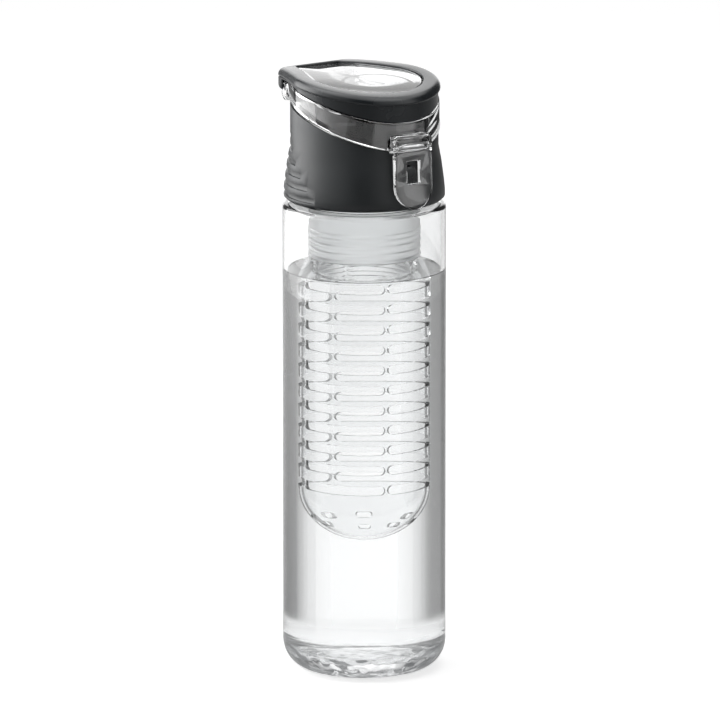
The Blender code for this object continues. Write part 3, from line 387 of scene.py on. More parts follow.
def window_plan(inset):
    s = lid_sizes()
    return plan(s.window_radius, s.window_forward, s.window_rear, s.window_half_width, s.window_corner, inset)


def side_curve(front, middle, rear):
    """Height over the side view: a parabola through three heights."""
    reach = lid_sizes().side_reach
    slope = (rear - front) / 2
    bow = (front + rear) / 2 - middle
    return lambda y: middle + slope * y / reach + bow * (y / reach) ** 2


def lifted(outline, curve, rise=0.0):
    """An outline lifted to a curve or to a height."""
    return [(x, y, (curve(y) if callable(curve) else curve) + rise) for x, y in outline]


def rod(name, radius, y, z, reach, steps=24):
    """A round tool along X."""
    loops = []
    for x in (-reach, reach):
        loops.append([(x, y + radius * math.cos(math.tau * step / steps),
                       z + radius * math.sin(math.tau * step / steps)) for step in range(steps)])
    return lofted(name, loops)


def joined(name, objects):
    """One object out of several that don't touch."""
    only(objects[0])
    for obj in objects[1:]:
        obj.select_set(True)
    bpy.ops.object.join()
    result = bpy.context.object
    result.name = result.data.name = name
    return result


def combined(piece, tool, operation):
    """piece with tool taken off or added, the tool used up."""
    applied(piece, "BOOLEAN", operation=operation, solver="EXACT", object=tool)
    bpy.data.objects.remove(tool)
    return piece


def copy_of(obj, name, matrix):
    """A copy of obj with its own mesh, placed by matrix."""
    twin = bpy.data.objects.new(name, obj.data.copy())
    bpy.context.collection.objects.link(twin)
    twin.data.transform(matrix)
    return twin


def from_frame(node, name, edge):
    """A merged copy of a CAD node with softened edges."""
    piece = copy_of(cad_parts[node], name, Matrix.Identity(4))
    piece.data.name = name
    only(piece)
    begin_edit()
    bpy.ops.mesh.remove_doubles(threshold=MERGE)
    bpy.ops.mesh.dissolve_limited(angle_limit=math.radians(0.5))
    bpy.ops.object.mode_set(mode="OBJECT")
    return bevelled(piece, edge, 35.0)


class Tree:
    """A shader tree, one call per node: a socket takes a constant or the output of another node."""

    def __init__(self, owner):
        self.nodes = owner.node_tree.nodes
        self.links = owner.node_tree.links

    def fill(self, node, sockets):
        for name, value in sockets.items():
            if isinstance(value, bpy.types.NodeSocket):
                self.links.new(value, node.inputs[name])
            else:
                node.inputs[name].default_value = value
        return node

    def add(self, kind, output, sockets, **settings):
        """The named output of a new node."""
        node = self.nodes.new(kind)
        for name, value in settings.items():
            setattr(node, name, value)
        return self.fill(node, sockets).outputs[output]

    def number(self, operation, *values):
        return self.add("ShaderNodeMath", "Value", dict(enumerate(values)), operation=operation)

    def between(self, value, low, high, start=0.0, end=1.0, curve="SMOOTHSTEP"):
        """value mapped from low and high to start and end."""
        bounds = {"Value": value, "From Min": low, "From Max": high, "To Min": start, "To Max": end}
        return self.add("ShaderNodeMapRange", "Result", bounds, interpolation_type=curve)

    def noise(self, place, scale, detail):
        return self.add("ShaderNodeTexNoise", "Fac", {"Vector": place, "Scale": scale, "Detail": detail})

    def blend(self, factor, first, second):
        return self.add("ShaderNodeMix", "Result", {"Factor": factor, "A": first, "B": second},
                        data_type="RGBA")

    def bump(self, height, strength, distance, below=None):
        sockets = {"Height": height, "Strength": strength, "Distance": distance}
        return self.add("ShaderNodeBump", "Normal", {**sockets, **(below or {})})

    def gloss(self, cloud, rough, spread):
        """Roughness that varies with the cloud."""
        return self.between(cloud, 0.3, 0.7, max(0.0, rough - spread), rough + spread, "LINEAR")

    def split(self, vector):
        return self.fill(self.nodes.new("ShaderNodeSeparateXYZ"), {"Vector": vector}).outputs


def surface_of(name):
    """A new material, its tree and its surface shader."""
    material = bpy.data.materials.new(name)
    material.use_nodes = True
    tree = Tree(material)
    return material, tree, tree.nodes["Principled BSDF"]


def plastic(name, colour, rough, spread, grain, depth, shade=0.12, metal=0.0, gleam=0.5):
    """Moulded plastic, rubber or metal: uneven colour, uneven gloss and a fine grain."""
    material, tree, surface = surface_of(name)
    place = tree.add("ShaderNodeTexCoord", "Object", {})
    cloud = tree.noise(place, 60.0, 3.0)
    dark = (*(part * (1 - shade) for part in colour), 1.0)
    light = (*(min(1.0, part * (1 + shade)) for part in colour), 1.0)
    fine = tree.noise(place, 1.0 / grain, 2.0)
    tree.fill(surface, {
        "Metallic": metal, "Specular IOR Level": gleam, "Base Color": tree.blend(cloud, dark, light),
        "Roughness": tree.gloss(cloud, rough, spread),
        "Normal": tree.bump(fine, 0.35, depth)})
    return material


def cut_face_shade_mask(tree, place, normal, centre_height):
    """High on faces that cross a round wall with a domed foot, most where they look up, 0 on the wall itself:
    a mask for painted shade.
    """
    x, y, z = tree.split(place)
    below = tree.number("MINIMUM", tree.number("SUBTRACT", z, centre_height), 0.0)
    outward = tree.add("ShaderNodeCombineXYZ", "Vector", {"X": x, "Y": y, "Z": below})
    unit = tree.add("ShaderNodeVectorMath", "Vector", {0: outward}, operation="NORMALIZE")
    along = tree.add("ShaderNodeVectorMath", "Value", {0: unit, 1: normal}, operation="DOT_PRODUCT")
    share = tree.between(tree.number("ABSOLUTE", along), 0.55, 0.97, 1.0, 0.0)
    weight = tree.between(tree.split(normal)["Z"], 0.2, 0.7, 0.12, 0.8, "LINEAR")
    return tree.number("MULTIPLY", share, weight)


def clear(name, colour, edge_shade_colour, start, end, ior, rough=0.02, spread=0.01, cut_above=0.0, foot=0.0):
    """Clear plastic or water: painted shade where it is seen along its wall, darkening its sides, with a soft
    moulded ripple.

    With cut_above, the centre height of a domed foot, the faces that cross the round wall get painted shade,
    most where they look up.
    With foot, a height, the plastic below it is as uneven as a thick moulded base and glows faintly with
    painted light.
    """
    material, tree, surface = surface_of(name)
    place = tree.add("ShaderNodeTexCoord", "Object", {})
    cloud = tree.noise(place, 1.0 / RIPPLE, 2.0)
    normal = tree.bump(cloud, 0.5, RIPPLE_DEPTH)
    if foot:
        low = tree.between(tree.split(place)["Z"], foot * 0.75, foot, 1.0, 0.0)
        lumps = tree.noise(place, 130.0, 1.0)
        normal = tree.bump(lumps, low, LUMP_DEPTH, {"Normal": normal})
        # Painted light: a faint bluish-white glow in the body's foot.
        tree.fill(surface, {"Emission Strength": tree.number("MULTIPLY", low, FOOT_PAINTED_GLOW),
                            "Emission Color": (0.95, 0.98, 1.0, 1.0)})
    # Painted shade: the colour goes toward the edge tint where the surface is seen edge-on, on outer faces
    # only.
    facing = tree.add("ShaderNodeLayerWeight", "Facing", {"Blend": 0.5})
    side = tree.nodes.new("ShaderNodeNewGeometry").outputs
    outside = tree.number("SUBTRACT", 1.0, side["Backfacing"])
    share = tree.number("MULTIPLY", tree.between(facing, start, end), outside)
    if cut_above:
        # Painted shade on the basket's cut faces.
        cut_shade_share = tree.number("MULTIPLY", cut_face_shade_mask(tree, place, side["Normal"], cut_above), outside)
        share = tree.number("MAXIMUM", share, cut_shade_share)
    tree.fill(surface, {
        "Transmission Weight": 1.0, "IOR": ior, "Normal": normal,
        "Roughness": tree.gloss(cloud, rough, spread),
        "Base Color": tree.blend(share, (*colour, 1.0), (*edge_shade_colour, 1.0))})
    return material


def placed(piece, material, body, slot, *nodes):
    """Give a finished piece its material, body and CAD nodes; slot is not used."""
    if not piece.data.polygons:
        raise RuntimeError(piece.name + " has no faces")
    piece.data.materials.clear()
    piece.data.materials.append(material)
    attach(piece, body)
    if nodes:
        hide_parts(*nodes)
    return piece


class BOTTLE_OT_body(bpy.types.Operator):
    """Turn the clear body, with its thick base, shoulder and neck"""
    bl_idname = "bottle.body"
    bl_label = "Body"

    def execute(self, context):
        s = sizes()
        inner = s.body_radius - s.body_wall
        under = s.shoulder_height - s.shoulder_wall
        body = turned("body_clear_shell", [
            (0.0, s.push_up, 0.0), (0.0155, s.push_up, 0.0015), (s.foot_radius, 0.0, 0.0005),
            (s.body_radius, 0.0, s.base_round), (s.body_radius, s.shoulder_height, 0.0022),
            (s.neck_radius, s.shoulder_height, 0.0006), (s.neck_radius, s.neck_top, 0.0005),
            (s.neck_bore, s.neck_top, 0.0005), (s.neck_bore, under, 0.0005),
            (inner, under, 0.0006), (inner, s.floor_height, 0.010), (0.0, s.floor_height, 0.0)])
        smoothed(body)
        f = finishes()
        placed(body, clear("clear_body", f.clear, f.clear_edge_shade, 0.80, 1.0, 1.5, foot=0.012), "bottle",
               "body_clear", "bottle_body")
        return {"FINISHED"}


class BOTTLE_OT_water(bpy.types.Operator):
    """Turn the water that stands in the body"""
    bl_idname = "bottle.water"
    bl_label = "Water"

    def execute(self, context):
        s = sizes()
        side = s.body_radius - s.body_wall + s.water_overlap
        low = s.floor_height - s.water_overlap
        water = turned("water_fill", [
            (0.0, low, 0.0), (side, low, 0.010), (side, s.water_top + 0.0006, 0.0),
            (side - 0.0010, s.water_top, 0.0008), (0.0, s.water_top, 0.0)])
        smoothed(water)
        f = finishes()
        placed(water, clear("water", f.water, f.water_edge_shade, 0.90, 1.0, 1.333, rough=0.0, spread=0.0),
               "bottle", "body_clear")
        return {"FINISHED"}


class BOTTLE_OT_basket(bpy.types.Operator):
    """Turn the slotted basket and cut its slots and drains"""
    bl_idname = "bottle.basket"
    bl_label = "Basket"

    def execute(self, context):
        s = sizes()
        outer, inner = s.basket_radius, s.basket_radius - s.basket_wall
        dome = s.basket_bottom + outer
        arc = [(outer * math.sin(step * math.pi / 32), dome - outer * math.cos(step * math.pi / 32), 0.0)
               for step in range(17)]
        back = [(inner * math.cos(step * math.pi / 32), dome - inner * math.sin(step * math.pi / 32), 0.0)
                for step in range(17)]
        basket = turned("basket_slotted", arc + [
            (outer, s.flange_bottom, 0.0003), (s.flange_radius, s.flange_bottom, 0.0006),
            (s.flange_radius, s.flange_top, 0.0006), (s.basket_neck, s.flange_top, 0.0003),
            (s.basket_neck, s.basket_top, 0.0004), (inner, s.basket_top, 0.0004)] + back, steps=112)
        basket = combined(basket, self.openings(s, outer), "DIFFERENCE")
        smoothed(bevelled(basket, 0.0004), 40.0)
        f = finishes()
        placed(basket, clear("clear_basket", f.clear, f.cut_face_shade_tint, 1.0, 1.01, 1.07, cut_above=dome),
               "basket", "basket_clear", "infuser_basket")
        return {"FINISHED"}

    def openings(self, s, outer):
        """The slot's tool, copied to every row and side, and the drain's tool, under each side twice."""
        drain = round_ended("drain", outer, s.drain_sweep / 2, s.drain_height / 2, 0.45, 1.15)
        copies = []
        narrow = s.narrow_side - s.thin_rib / 2 - s.wide_rib / 2
        wide = math.pi - s.narrow_side - s.thin_rib / 2 - s.wide_rib / 2
        for half in (0.0, math.pi):
            for start, sweep in ((s.rib_direction + s.thin_rib / 2, narrow),
                                 (s.rib_direction + s.narrow_side + s.wide_rib / 2, wide)):
                towards = Matrix.Rotation(start + sweep / 2 + half + math.pi / 2, 4, "Z")
                slot = round_ended("slot", outer, sweep / 2, s.slot_height / 2, 0.75, 1.15)
                for row in range(s.slot_rows):
                    height = s.slot_first + s.slot_height / 2 + row * s.slot_pitch
                    copies.append(copy_of(slot, "slot", Matrix.Translation((0.0, 0.0, height)) @ towards))
                bpy.data.objects.remove(slot)
                for side in (-1, 1):
                    lean = Matrix.Rotation(side * sweep * 0.28, 4, "Z")
                    lift = Matrix.Translation((0.0, 0.0, s.drain_lift + s.basket_bottom))
                    copies.append(copy_of(drain, "drain", lift @ towards @ lean))
        bpy.data.objects.remove(drain)
        return joined("openings", copies)


class BOTTLE_OT_sleeve(bpy.types.Operator):
    """Turn the frosted sleeve with its thread ridges"""
    bl_idname = "bottle.sleeve"
    bl_label = "Sleeve"

    def execute(self, context):
        s = sizes()
        ridges = []
        low = s.sleeve_radius - RIDGE_DEPTH
        for height in RIDGE_HEIGHTS:
            for radius, rise in ((low, -0.0009), (s.sleeve_radius, -0.0004), (s.sleeve_radius, 0.0004),
                                 (low, 0.0009)):
                ridges.append((radius, height + rise, 0.0002))
        sleeve = turned("sleeve_frosted_tube", ridges[1:] + [
            (low, s.sleeve_top, 0.0004), (s.sleeve_bore, s.sleeve_top, 0.0004),
            (s.sleeve_bore, s.sleeve_bottom, 0.0003), (s.sleeve_radius, s.sleeve_bottom, 0.0001)],
            closed=True, arc_steps=4)
        smoothed(sleeve)
        f = finishes()
        placed(sleeve, clear("frosted", f.frosted, f.frosted, 0.7, 1.0, 1.3, rough=0.30, spread=0.03), "cap",
               "sleeve_frosted", "infuser_sleeve")
        return {"FINISHED"}


class BOTTLE_OT_collar(bpy.types.Operator):
    """Finish the charcoal collar with its pockets, stud and knuckle"""
    bl_idname = "bottle.collar"
    bl_label = "Collar"

    def execute(self, context):
        collar = from_frame("collar_shell", "collar_satin_shell", 0.0004)
        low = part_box("collar_shell")[0][2]
        for vertex in collar.data.vertices:
            vertex.co.z += max(0.0, low + EDGE_ZONE - vertex.co.z) * EDGE_LIFT / EDGE_ZONE
        smoothed(collar)
        f = finishes()
        placed(collar, plastic("charcoal_satin", f.charcoal, 0.42, 0.04, 0.0006, 0.00002, gleam=0.40), "cap",
               "collar_charcoal", "collar_shell")
        return {"FINISHED"}


class BOTTLE_OT_cup(bpy.types.Operator):
    """Finish the glossy inner cup and its spout"""
    bl_idname = "bottle.cup"
    bl_label = "Cup"

    def execute(self, context):
        cup = smoothed(from_frame("spout_cup", "cup_gloss_shell", 0.0003))
        f = finishes()
        placed(cup, plastic("cup_gloss", f.cup_black, 0.16, 0.03, 0.0030, 0.00001, gleam=0.25), "cap",
               "cup_black", "spout_cup")
        return {"FINISHED"}


class BOTTLE_OT_lid(bpy.types.Operator):
    """Loft the clear shell of the lid and add its boss, cheeks and latch bracket"""
    bl_idname = "bottle.lid"
    bl_label = "Lid shell"

    def execute(self, context):
        s = lid_sizes()
        shell = self.shell(s)
        shell = combined(shell, self.boss(s), "UNION")
        for side in (-1, 1):
            shell = combined(shell, self.cheek(s, side), "UNION")
        reach = s.cheek_start + s.cheek_width + 0.002
        shell = combined(shell, rod("bore", s.hinge_bore, s.hinge_back, s.hinge_height, reach), "DIFFERENCE")
        shell = combined(shell, self.bracket(s), "UNION")
        pivots = rod("pivots", s.pivot_bore, -s.pivot_forward, s.pivot_height,
                     s.bracket_half_width + 0.002, 16)
        shell = combined(shell, pivots, "DIFFERENCE")
        smoothed(shell, 35.0)
        f = finishes()
        placed(shell, clear("clear_lid", f.clear, f.clear_edge_shade, 0.75, 1.0, 1.60), "lid", "lid_clear",
               "lid_shell")
        return {"FINISHED"}

    def shell(self, s):
        """Band, step under the ring and window plate, one wall thick."""
        def outline(inset):
            return lid_plan(inset, -s.rear_tuck)

        rim = side_curve(s.rim_front, s.rim_middle, s.rim_rear)
        band = side_curve(s.band_front, s.band_middle, s.band_rear)
        top = side_curve(s.top_front, s.top_middle, s.top_rear)
        rear_start = s.hinge_back - 0.0032

        def foot(y):
            share = min(1.0, max(0.0, (y - rear_start) / (s.corner / 2)))
            share = share * share * (3 - 2 * share)
            return rim(y) + s.gap + (s.hinge_height + s.rear_lift - rim(y) - s.gap) * share

        step_up = s.skirt_inset + s.skirt_wall + s.gap
        under = -s.ring_plate - s.gap
        soft = 0.0004
        below = -s.plate_drop - s.wall
        centre = -s.window_forward
        crown = window_plan(s.gap + 0.0008)
        inside = window_plan(s.wall)

        def shrunk(outline, share):
            return [(x * share, centre + (y - centre) * share) for x, y in outline]

        loops = [
            lifted(shrunk(crown, 0.0), top, -s.plate_drop), lifted(shrunk(crown, 0.5), top, -s.plate_drop),
            lifted(crown, top, -s.plate_drop),
            lifted(window_plan(s.gap + 0.0003), top, -s.plate_drop - 0.0002),
            lifted(window_plan(s.gap), top, -s.plate_drop - 0.0007), lifted(window_plan(s.gap), top, under),
            lifted(outline(step_up), top, under), lifted(outline(step_up), band, -s.gap / 2),
            lifted(outline(s.band_inset + soft), band, -s.gap / 2),
            lifted(outline(s.band_inset + soft * 0.3), band, -s.gap / 2 - soft * 0.3),
            lifted(outline(s.band_inset), band, -s.gap / 2 - soft),
            lifted(outline(s.band_inset), foot, s.lip_height + 0.0004),
            lifted(outline(0.0001), foot, s.lip_height), lifted(outline(0.0001), foot, soft),
            lifted(outline(0.0001 + soft * 0.3), foot, soft * 0.3), lifted(outline(0.0001 + soft), foot),
            lifted(outline(s.band_inset + s.wall), foot),
            lifted(outline(s.band_inset + s.wall), band, -s.gap / 2 - s.wall),
            lifted(outline(step_up + s.upper_wall), band, -s.gap / 2 - s.wall),
            lifted(outline(step_up + s.upper_wall), top, under - s.wall), lifted(inside, top, under - s.wall),
            lifted(inside, top, below), lifted(shrunk(inside, 0.5), top, below),
            lifted(shrunk(inside, 0.0), top, below)]
        return lofted("lid_clear_shell", loops)

    def boss(self, s):
        """Ring under the plate that holds the seal."""
        top = side_curve(s.top_front, s.top_middle, s.top_rear)

        def circle(radius):
            angles = [math.tau * step / 96 for step in range(96)]
            return [(radius * math.sin(angle), radius * math.cos(angle) - s.boss_forward) for angle in angles]

        bore = s.boss_radius - s.boss_wall
        into = -s.plate_drop - s.wall + 0.0005
        return lofted("boss", [
            lifted(circle(bore), s.boss_bottom), lifted(circle(s.boss_radius - 0.0003), s.boss_bottom),
            lifted(circle(s.boss_radius), s.boss_bottom + 0.0003), lifted(circle(s.boss_radius), top, into),
            lifted(circle(bore), top, into)], closed=True)

    def cheek(self, s, side):
        """Plate beside the knuckle with a round end about the pin."""
        steps = 20
        outline = []
        for step in range(steps + 1):
            angle = math.pi + math.pi * step / steps
            outline.append((s.hinge_back + s.cheek_radius * math.cos(angle),
                            s.hinge_height + s.cheek_radius * math.sin(angle)))
        outline += [(s.hinge_back + 0.0005, s.cheek_top), (s.hinge_back - s.cheek_radius, s.cheek_top)]
        ends = sorted((side * s.cheek_start, side * (s.cheek_start + s.cheek_width)))
        cheek = lofted("cheek", [[(x, y, z) for y, z in outline] for x in ends])
        return bevelled(cheek, 0.0002)

    def bracket(self, s):
        """Open-fronted housing on the band that the latch swings in."""
        half, wall, corner = s.bracket_half_width, s.bracket_wall, s.bracket_round
        loops = []
        for place, bottom in ((s.pivot_forward + 0.0014, s.bracket_bottom),
                              (s.pivot_forward - 0.0030, s.bracket_bottom),
                              (s.pivot_forward - 0.0044, s.bracket_bottom + s.bracket_heel)):
            outer, inner = [(half, bottom)], [(-half + wall, bottom)]
            for turn_start, centre in ((0.0, half - corner), (90.0, corner - half)):
                for step in range(9):
                    angle = math.radians(turn_start + 90.0 * step / 8)
                    outer.append((centre + corner * math.cos(angle),
                                  s.bracket_top - corner + corner * math.sin(angle)))
            outer.append((-half, bottom))
            inner += [(-half + wall, s.bracket_top - wall), (half - wall, s.bracket_top - wall),
                      (half - wall, bottom)]
            loops.append([(x, -place, z) for x, z in outer + inner])
        return bevelled(lofted("bracket", loops), 0.0003)


class BOTTLE_OT_ring(bpy.types.Operator):
    """Loft the dark ring round the window"""
    bl_idname = "bottle.ring"
    bl_label = "Lid ring"

    def execute(self, context):
        s = lid_sizes()
        band = side_curve(s.band_front, s.band_middle, s.band_rear)
        top = side_curve(s.top_front, s.top_middle, s.top_rear)
        start = s.rear - s.corner * 1.05

        def share(y):
            part = min(1.0, max(0.0, (y - start) / (s.corner * 0.30)))
            return part * part * (3 - 2 * part)

        def curled(inset, spare, angle):
            """An outline whose rear bends forward below, round the hinge."""
            points = []
            for (x, y), (near_x, near_y) in zip(lid_plan(inset, spare), lid_plan(inset, spare - s.tail_bend)):
                low = band(y) + s.gap / 2
                bend = share(y) * (1 - math.cos(angle))
                rise = s.tail_bend * 2 * (1 - math.sin(angle))
                points.append((x + (near_x - x) * bend, y + (near_y - y) * bend,
                               low + (s.hinge_height + s.tail_lift + rise - low) * share(y)))
            return points

        outer = lid_plan(s.skirt_inset, s.skirt_inset * 2 / 3)
        within = s.skirt_inset + s.skirt_wall
        inner = lid_plan(within, within - s.rear_wall)
        loops = [curled(within, within - s.rear_wall, math.pi / 2)]
        for step in range(7):
            loops.append(curled(s.skirt_inset, s.skirt_inset * 2 / 3, math.pi / 2 * (1 - step / 6)))
        loops.append(lifted(outer, top, -s.flange))
        for step in range(5):
            angle = math.pi / 2 * step / 4
            loops.append(lifted(lid_plan(s.edge_round * (1 - math.sin(angle))), top,
                                s.edge_round * (1 - math.cos(angle)) - s.flange))
        for step in range(11):
            angle = math.pi / 2 * step / 10
            loops.append(lifted(lid_plan(s.top_round * (1 - math.cos(angle))), top,
                                s.top_round * (math.sin(angle) - 1)))
        for step in range(4):
            angle = math.pi / 2 * step / 3
            loops.append(lifted(window_plan(-0.0005 * (1 - math.sin(angle))), top,
                                0.0005 * (math.cos(angle) - 1) - 0.0001))
        loops += [lifted(window_plan(0.0), top, -s.ring_plate), lifted(inner, top, -s.ring_plate)]
        ring = smoothed(lofted("ring_satin_frame", loops, closed=True), 35.0)
        f = finishes()
        placed(ring, plastic("ring_satin", f.ring_grey, 0.26, 0.04, 0.0006, 0.00002, gleam=0.32), "lid",
               "ring_charcoal", "lid_ring")
        return {"FINISHED"}


class BOTTLE_OT_seals(bpy.types.Operator):
    """Turn the soft spout seal and the neck gasket"""
    bl_idname = "bottle.seals"
    bl_label = "Seals"

    def execute(self, context):
        f = finishes()
        soft = plastic("silicone", f.silicone, 0.45, 0.05, 0.0012, 0.00002, shade=0.05)
        seal = turned("spout_seal_disc", [
            (0.0, 0.2468, 0.0), (0.0077, 0.2468, 0.0006), (0.0077, 0.2488, 0.0003), (0.0140, 0.2488, 0.0004),
            (0.0140, 0.2508, 0.0004), (0.0125, 0.2508, 0.0003), (0.0125, 0.2526, 0.0004),
            (0.0110, 0.2526, 0.0004), (0.0110, 0.2508, 0.0003), (0.0, 0.2508, 0.0)],
            steps=96, centre_y=-lid_sizes().boss_forward)
        smoothed(seal)
        placed(seal, soft, "lid", "seal_clear", "spout_seal")
        gasket = turned("neck_gasket_ring", [
            (0.02584, 0.2193, 0.0004), (0.02744, 0.2193, 0.0004), (0.02744, 0.2209, 0.0004),
            (0.02584, 0.2209, 0.0004)], closed=True, steps=96, arc_steps=4)
        smoothed(gasket)
        placed(gasket, soft, "cap_seal", "gasket_silicone", "neck_gasket")
        return {"FINISHED"}


class BOTTLE_OT_latch(bpy.types.Operator):
    """Finish the clear strap latch"""
    bl_idname = "bottle.latch"
    bl_label = "Latch"

    def execute(self, context):
        latch = smoothed(from_frame("latch", "latch_clear_strap", 0.0004))
        f = finishes()
        placed(latch, clear("clear_latch", f.clear, f.clear_edge_shade, 0.70, 1.0, 1.65), "latch", "latch_clear",
               "latch")
        return {"FINISHED"}


class BOTTLE_OT_pin(bpy.types.Operator):
    """Finish the steel hinge pin"""
    bl_idname = "bottle.pin"
    bl_label = "Hinge pin"

    def execute(self, context):
        pin = smoothed(from_frame("hinge_pin", "hinge_pin_rod", 0.0002))
        f = finishes()
        placed(pin, plastic("steel", f.steel, 0.28, 0.06, 0.0005, 0.00001, metal=1.0), "cap", "pin_steel",
               "hinge_pin")
        return {"FINISHED"}


class BOTTLE_OT_stage(bpy.types.Operator):
    """Put up the pale floor, the soft lamps, the white world and the camera"""
    bl_idname = "bottle.stage"
    bl_label = "Stage"

    def execute(self, context):
        scene = context.scene
        self.floor()
        self.card("right_card", 1.0, (
            (0.013, 1.0), (0.032, 0.90), (0.049, 0.82), (0.0585, 0.75), (0.070, 0.65), (0.085, 0.54),
            (0.103, 0.33), (0.125, 0.29), (0.157, 0.22), (0.200, 0.16), (0.235, 0.14), (0.275, 0.14),
            (0.46, 0.18)))
        self.card("left_card", -1.0, (
            (0.013, 1.0), (0.025, 0.90), (0.038, 0.80), (0.0455, 0.71), (0.0538, 0.65), (0.0646, 0.58),
            (0.0773, 0.46), (0.0936, 0.38), (0.114, 0.36), (0.141, 0.34), (0.178, 0.31), (0.215, 0.12),
            (0.280, 0.03), (0.46, 0.02)))
        self.world(scene)
        self.lamp("key_softbox", 146.0, 1.00, 0.42, 1.15, 0.90, 3.0)
        self.lamp("top_softbox", 35.0, 0.10, 1.15, 0.80, 0.80, 1.6).visible_glossy = False
        self.camera(scene)
        scene.view_settings.view_transform = "Standard"
        scene.cycles.max_bounces = 32
        scene.cycles.transmission_bounces = 28
        scene.cycles.transparent_max_bounces = 16
        return {"FINISHED"}

    def floor(self):
        bpy.ops.object.select_all(action="DESELECT")
        bpy.ops.mesh.primitive_plane_add(size=4.0)
        floor = bpy.context.object
        floor.name = "floor"
        material, tree, surface = surface_of("pale_floor")
        path = tree.nodes.new("ShaderNodeLightPath").outputs
        through = tree.number("MULTIPLY", path["Is Transmission Ray"], FLOOR_THROUGH)
        tree.fill(surface, {
            "Base Color": (*finishes().floor, 1.0), "Roughness": 0.9, "Specular IOR Level": 0.0,
            "Emission Color": WHITE,
            "Emission Strength": tree.number("MULTIPLY_ADD", path["Is Camera Ray"], FLOOR_SEEN, through)})
        floor.data.materials.append(material)

    def card(self, name, side, stops):
        """A curved grey card beside and behind the bottle, seen only through it, as for clear goods."""
        steps, reach, height = 60, 0.075, 0.158
        angles = [math.radians(1.5 + 118.5 * step / steps) for step in range(steps + 1)]
        card = trace(name, [(side * reach * math.sin(angle), reach * math.cos(angle), 0.0002)
                            for angle in angles])
        begin_edit()
        bpy.ops.mesh.extrude_region_move(TRANSFORM_OT_translate={"value": (0.0, 0.0, height)})
        bpy.ops.object.mode_set(mode="OBJECT")
        card.rotation_euler = (0.0, 0.0, -CAMERA_AZIMUTH)
        card.visible_camera = card.visible_diffuse = card.visible_glossy = card.visible_shadow = False
        material, tree, surface = surface_of(name)
        x, y, z = tree.split(tree.add("ShaderNodeTexCoord", "Object", {}))
        share = tree.number("MULTIPLY", tree.number("ARCTAN2", x, y), side / math.radians(120.0))
        greys = tree.blend(tree.between(z, 0.0, 0.008), WHITE, self.ramp(tree, share, stops))
        tree.fill(surface, {"Base Color": (0.0, 0.0, 0.0, 1.0), "Specular IOR Level": 0.0,
                            "Emission Color": greys, "Emission Strength": CARD_STRENGTH})
        card.data.materials.append(material)

    def ramp(self, tree, value, stops):
        """Greys along value, from stops (position, grey)."""
        ramp = tree.fill(tree.nodes.new("ShaderNodeValToRGB"), {"Fac": value})
        elements = ramp.color_ramp.elements
        for position, _ in stops[2:]:
            elements.new(position)
        for element, (position, grey) in zip(elements, stops):
            element.position = position
            element.color = (grey, grey, grey, 1.0)
        return ramp.outputs["Color"]

    def world(self, scene):
        """White behind the bottle, grey on matt pieces, and bright and dark panels in the reflections."""
        world = bpy.data.worlds.new("studio")
        scene.world = world
        world.use_nodes = True
        tree = Tree(world)
        path = tree.nodes.new("ShaderNodeLightPath").outputs
        seen = tree.number("MAXIMUM", path["Is Camera Ray"], path["Is Transmission Ray"])
        place = tree.add("ShaderNodeTexCoord", "Generated", {})

        def toward(x, y):
            return tree.add("ShaderNodeVectorMath", "Value", {0: place, 1: (x, y, 0.0)},
                            operation="DOT_PRODUCT")

        right = toward(math.cos(CAMERA_AZIMUTH), -math.sin(CAMERA_AZIMUTH))
        near = toward(-math.sin(CAMERA_AZIMUTH), -math.cos(CAMERA_AZIMUTH))
        front = tree.between(near, 0.35, 0.85, 0.0, 0.85)
        dimmed = tree.number("MULTIPLY", front, path["Is Transmission Ray"])
        turns = tree.number("DIVIDE", tree.number("ARCTAN2", right, near), math.tau)
        bearing = tree.number("ADD", turns, 0.5)
        panels = self.ramp(tree, bearing, (
            (0.0, 0.50), (0.04, 0.50), (0.06, 0.05), (0.12, 0.06), (0.17, 0.60), (0.19, 1.00), (0.262, 1.00),
            (0.30, 0.80), (0.36, 0.40), (0.44, 0.17), (0.447, 0.01), (0.543, 0.01), (0.556, 0.30),
            (0.63, 0.26), (0.65, 0.50), (0.72, 0.50), (0.74, 0.03), (0.94, 0.03), (0.96, 0.50)))
        above = tree.between(tree.split(place)["Z"], 0.55, 0.75, 0.0, 3.0)
        mirrored = tree.number("ADD", tree.number("MULTIPLY", panels, PANEL_STRENGTH), above)
        soft = tree.fill(tree.nodes["Background"], {"Color": (0.4, 0.4, 0.4, 1.0)}).outputs["Background"]
        white, mirror = (tree.add("ShaderNodeBackground", "Background", {"Color": colour})
                         for colour in (tree.number("SUBTRACT", 1.0, dimmed), mirrored))
        first = tree.add("ShaderNodeMixShader", "Shader", {"Fac": path["Is Glossy Ray"], 1: soft, 2: mirror})
        second = tree.add("ShaderNodeMixShader", "Shader", {"Fac": seen, 1: first, 2: white})
        tree.fill(tree.nodes["World Output"], {"Surface": second})

    def lamp(self, name, azimuth, reach, height, width, tall, radiance):
        """A soft rectangle at that azimuth from the front, aimed at the cap."""
        turned_by = math.radians(azimuth)
        data = bpy.data.lights.new(name, "AREA")
        data.shape = "RECTANGLE"
        data.size, data.size_y = width, tall
        data.energy = radiance * math.pi * width * tall
        lamp = bpy.data.objects.new(name, data)
        bpy.context.collection.objects.link(lamp)
        lamp.location = (-reach * math.sin(turned_by), -reach * math.cos(turned_by), height)
        aim = Vector((0.0, 0.0, AIM_HEIGHT)) - lamp.location
        lamp.rotation_euler = aim.to_track_quat("-Z", "Y").to_euler()
        return lamp

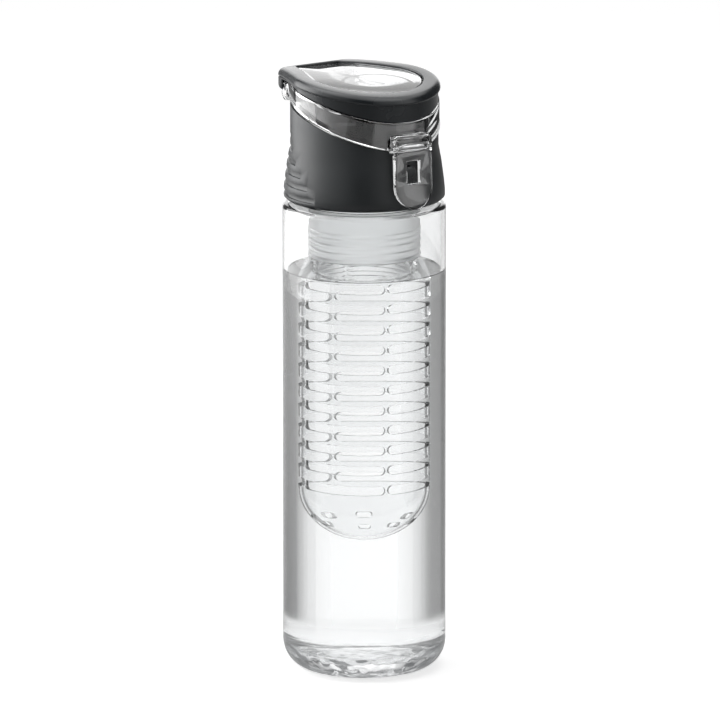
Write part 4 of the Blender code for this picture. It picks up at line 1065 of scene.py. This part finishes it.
    def camera(self, scene):
        data = bpy.data.cameras.new("camera")
        camera = bpy.data.objects.new("camera", data)
        scene.collection.objects.link(camera)
        camera.location = (-CAMERA_REACH * math.sin(CAMERA_AZIMUTH), -CAMERA_REACH * math.cos(CAMERA_AZIMUTH),
                           CAMERA_HEIGHT)
        aim = Vector((0.0, 0.0, AIM_HEIGHT)) - camera.location
        camera.rotation_euler = aim.to_track_quat("-Z", "Y").to_euler()
        data.sensor_width = 36.0
        distance = math.hypot(CAMERA_REACH, CAMERA_HEIGHT - AIM_HEIGHT)
        data.lens = PIXELS_PER_METRE * distance * data.sensor_width / PICTURE_SIDE
        data.shift_x = -(AIM_PIXEL[0] - PICTURE_SIDE / 2) / PICTURE_SIDE
        data.shift_y = (AIM_PIXEL[1] - PICTURE_SIDE / 2) / PICTURE_SIDE
        data.clip_end = 100.0
        scene.camera = camera


class BOTTLE_PT_panel(bpy.types.Panel):
    """Sizes, finishes and steps of the bottle"""
    bl_label = "Clear infuser bottle"
    bl_idname = "BOTTLE_PT_panel"
    bl_space_type = "VIEW_3D"
    bl_region_type = "UI"
    bl_category = "Bottle"

    def draw(self, context):
        layout = self.layout
        for group in (context.scene.bottle_sizes, context.scene.bottle_lid, context.scene.bottle_finish):
            for name in group.__annotations__:
                layout.prop(group, name)
        for step in STEPS:
            layout.operator(step.bl_idname)


STEPS = (BOTTLE_OT_body, BOTTLE_OT_water, BOTTLE_OT_basket, BOTTLE_OT_sleeve, BOTTLE_OT_collar, BOTTLE_OT_cup,
         BOTTLE_OT_lid, BOTTLE_OT_ring, BOTTLE_OT_seals, BOTTLE_OT_latch, BOTTLE_OT_pin, BOTTLE_OT_stage)
CLASSES = (BottleSizes, LidSizes, BottleFinish, *STEPS, BOTTLE_PT_panel)


def register():
    for item in CLASSES:
        bpy.utils.register_class(item)
    bpy.types.Scene.bottle_sizes = bpy.props.PointerProperty(type=BottleSizes)
    bpy.types.Scene.bottle_lid = bpy.props.PointerProperty(type=LidSizes)
    bpy.types.Scene.bottle_finish = bpy.props.PointerProperty(type=BottleFinish)


def unregister():
    del bpy.types.Scene.bottle_finish
    del bpy.types.Scene.bottle_lid
    del bpy.types.Scene.bottle_sizes
    for item in reversed(CLASSES):
        bpy.utils.unregister_class(item)


def main():
    register()
    bpy.ops.bottle.body()
    bpy.ops.bottle.water()
    bpy.ops.bottle.basket()
    bpy.ops.bottle.sleeve()
    bpy.ops.bottle.collar()
    bpy.ops.bottle.cup()
    bpy.ops.bottle.lid()
    bpy.ops.bottle.ring()
    bpy.ops.bottle.seals()
    bpy.ops.bottle.latch()
    bpy.ops.bottle.pin()
    bpy.ops.bottle.stage()


if __name__ == "__main__":
    main()
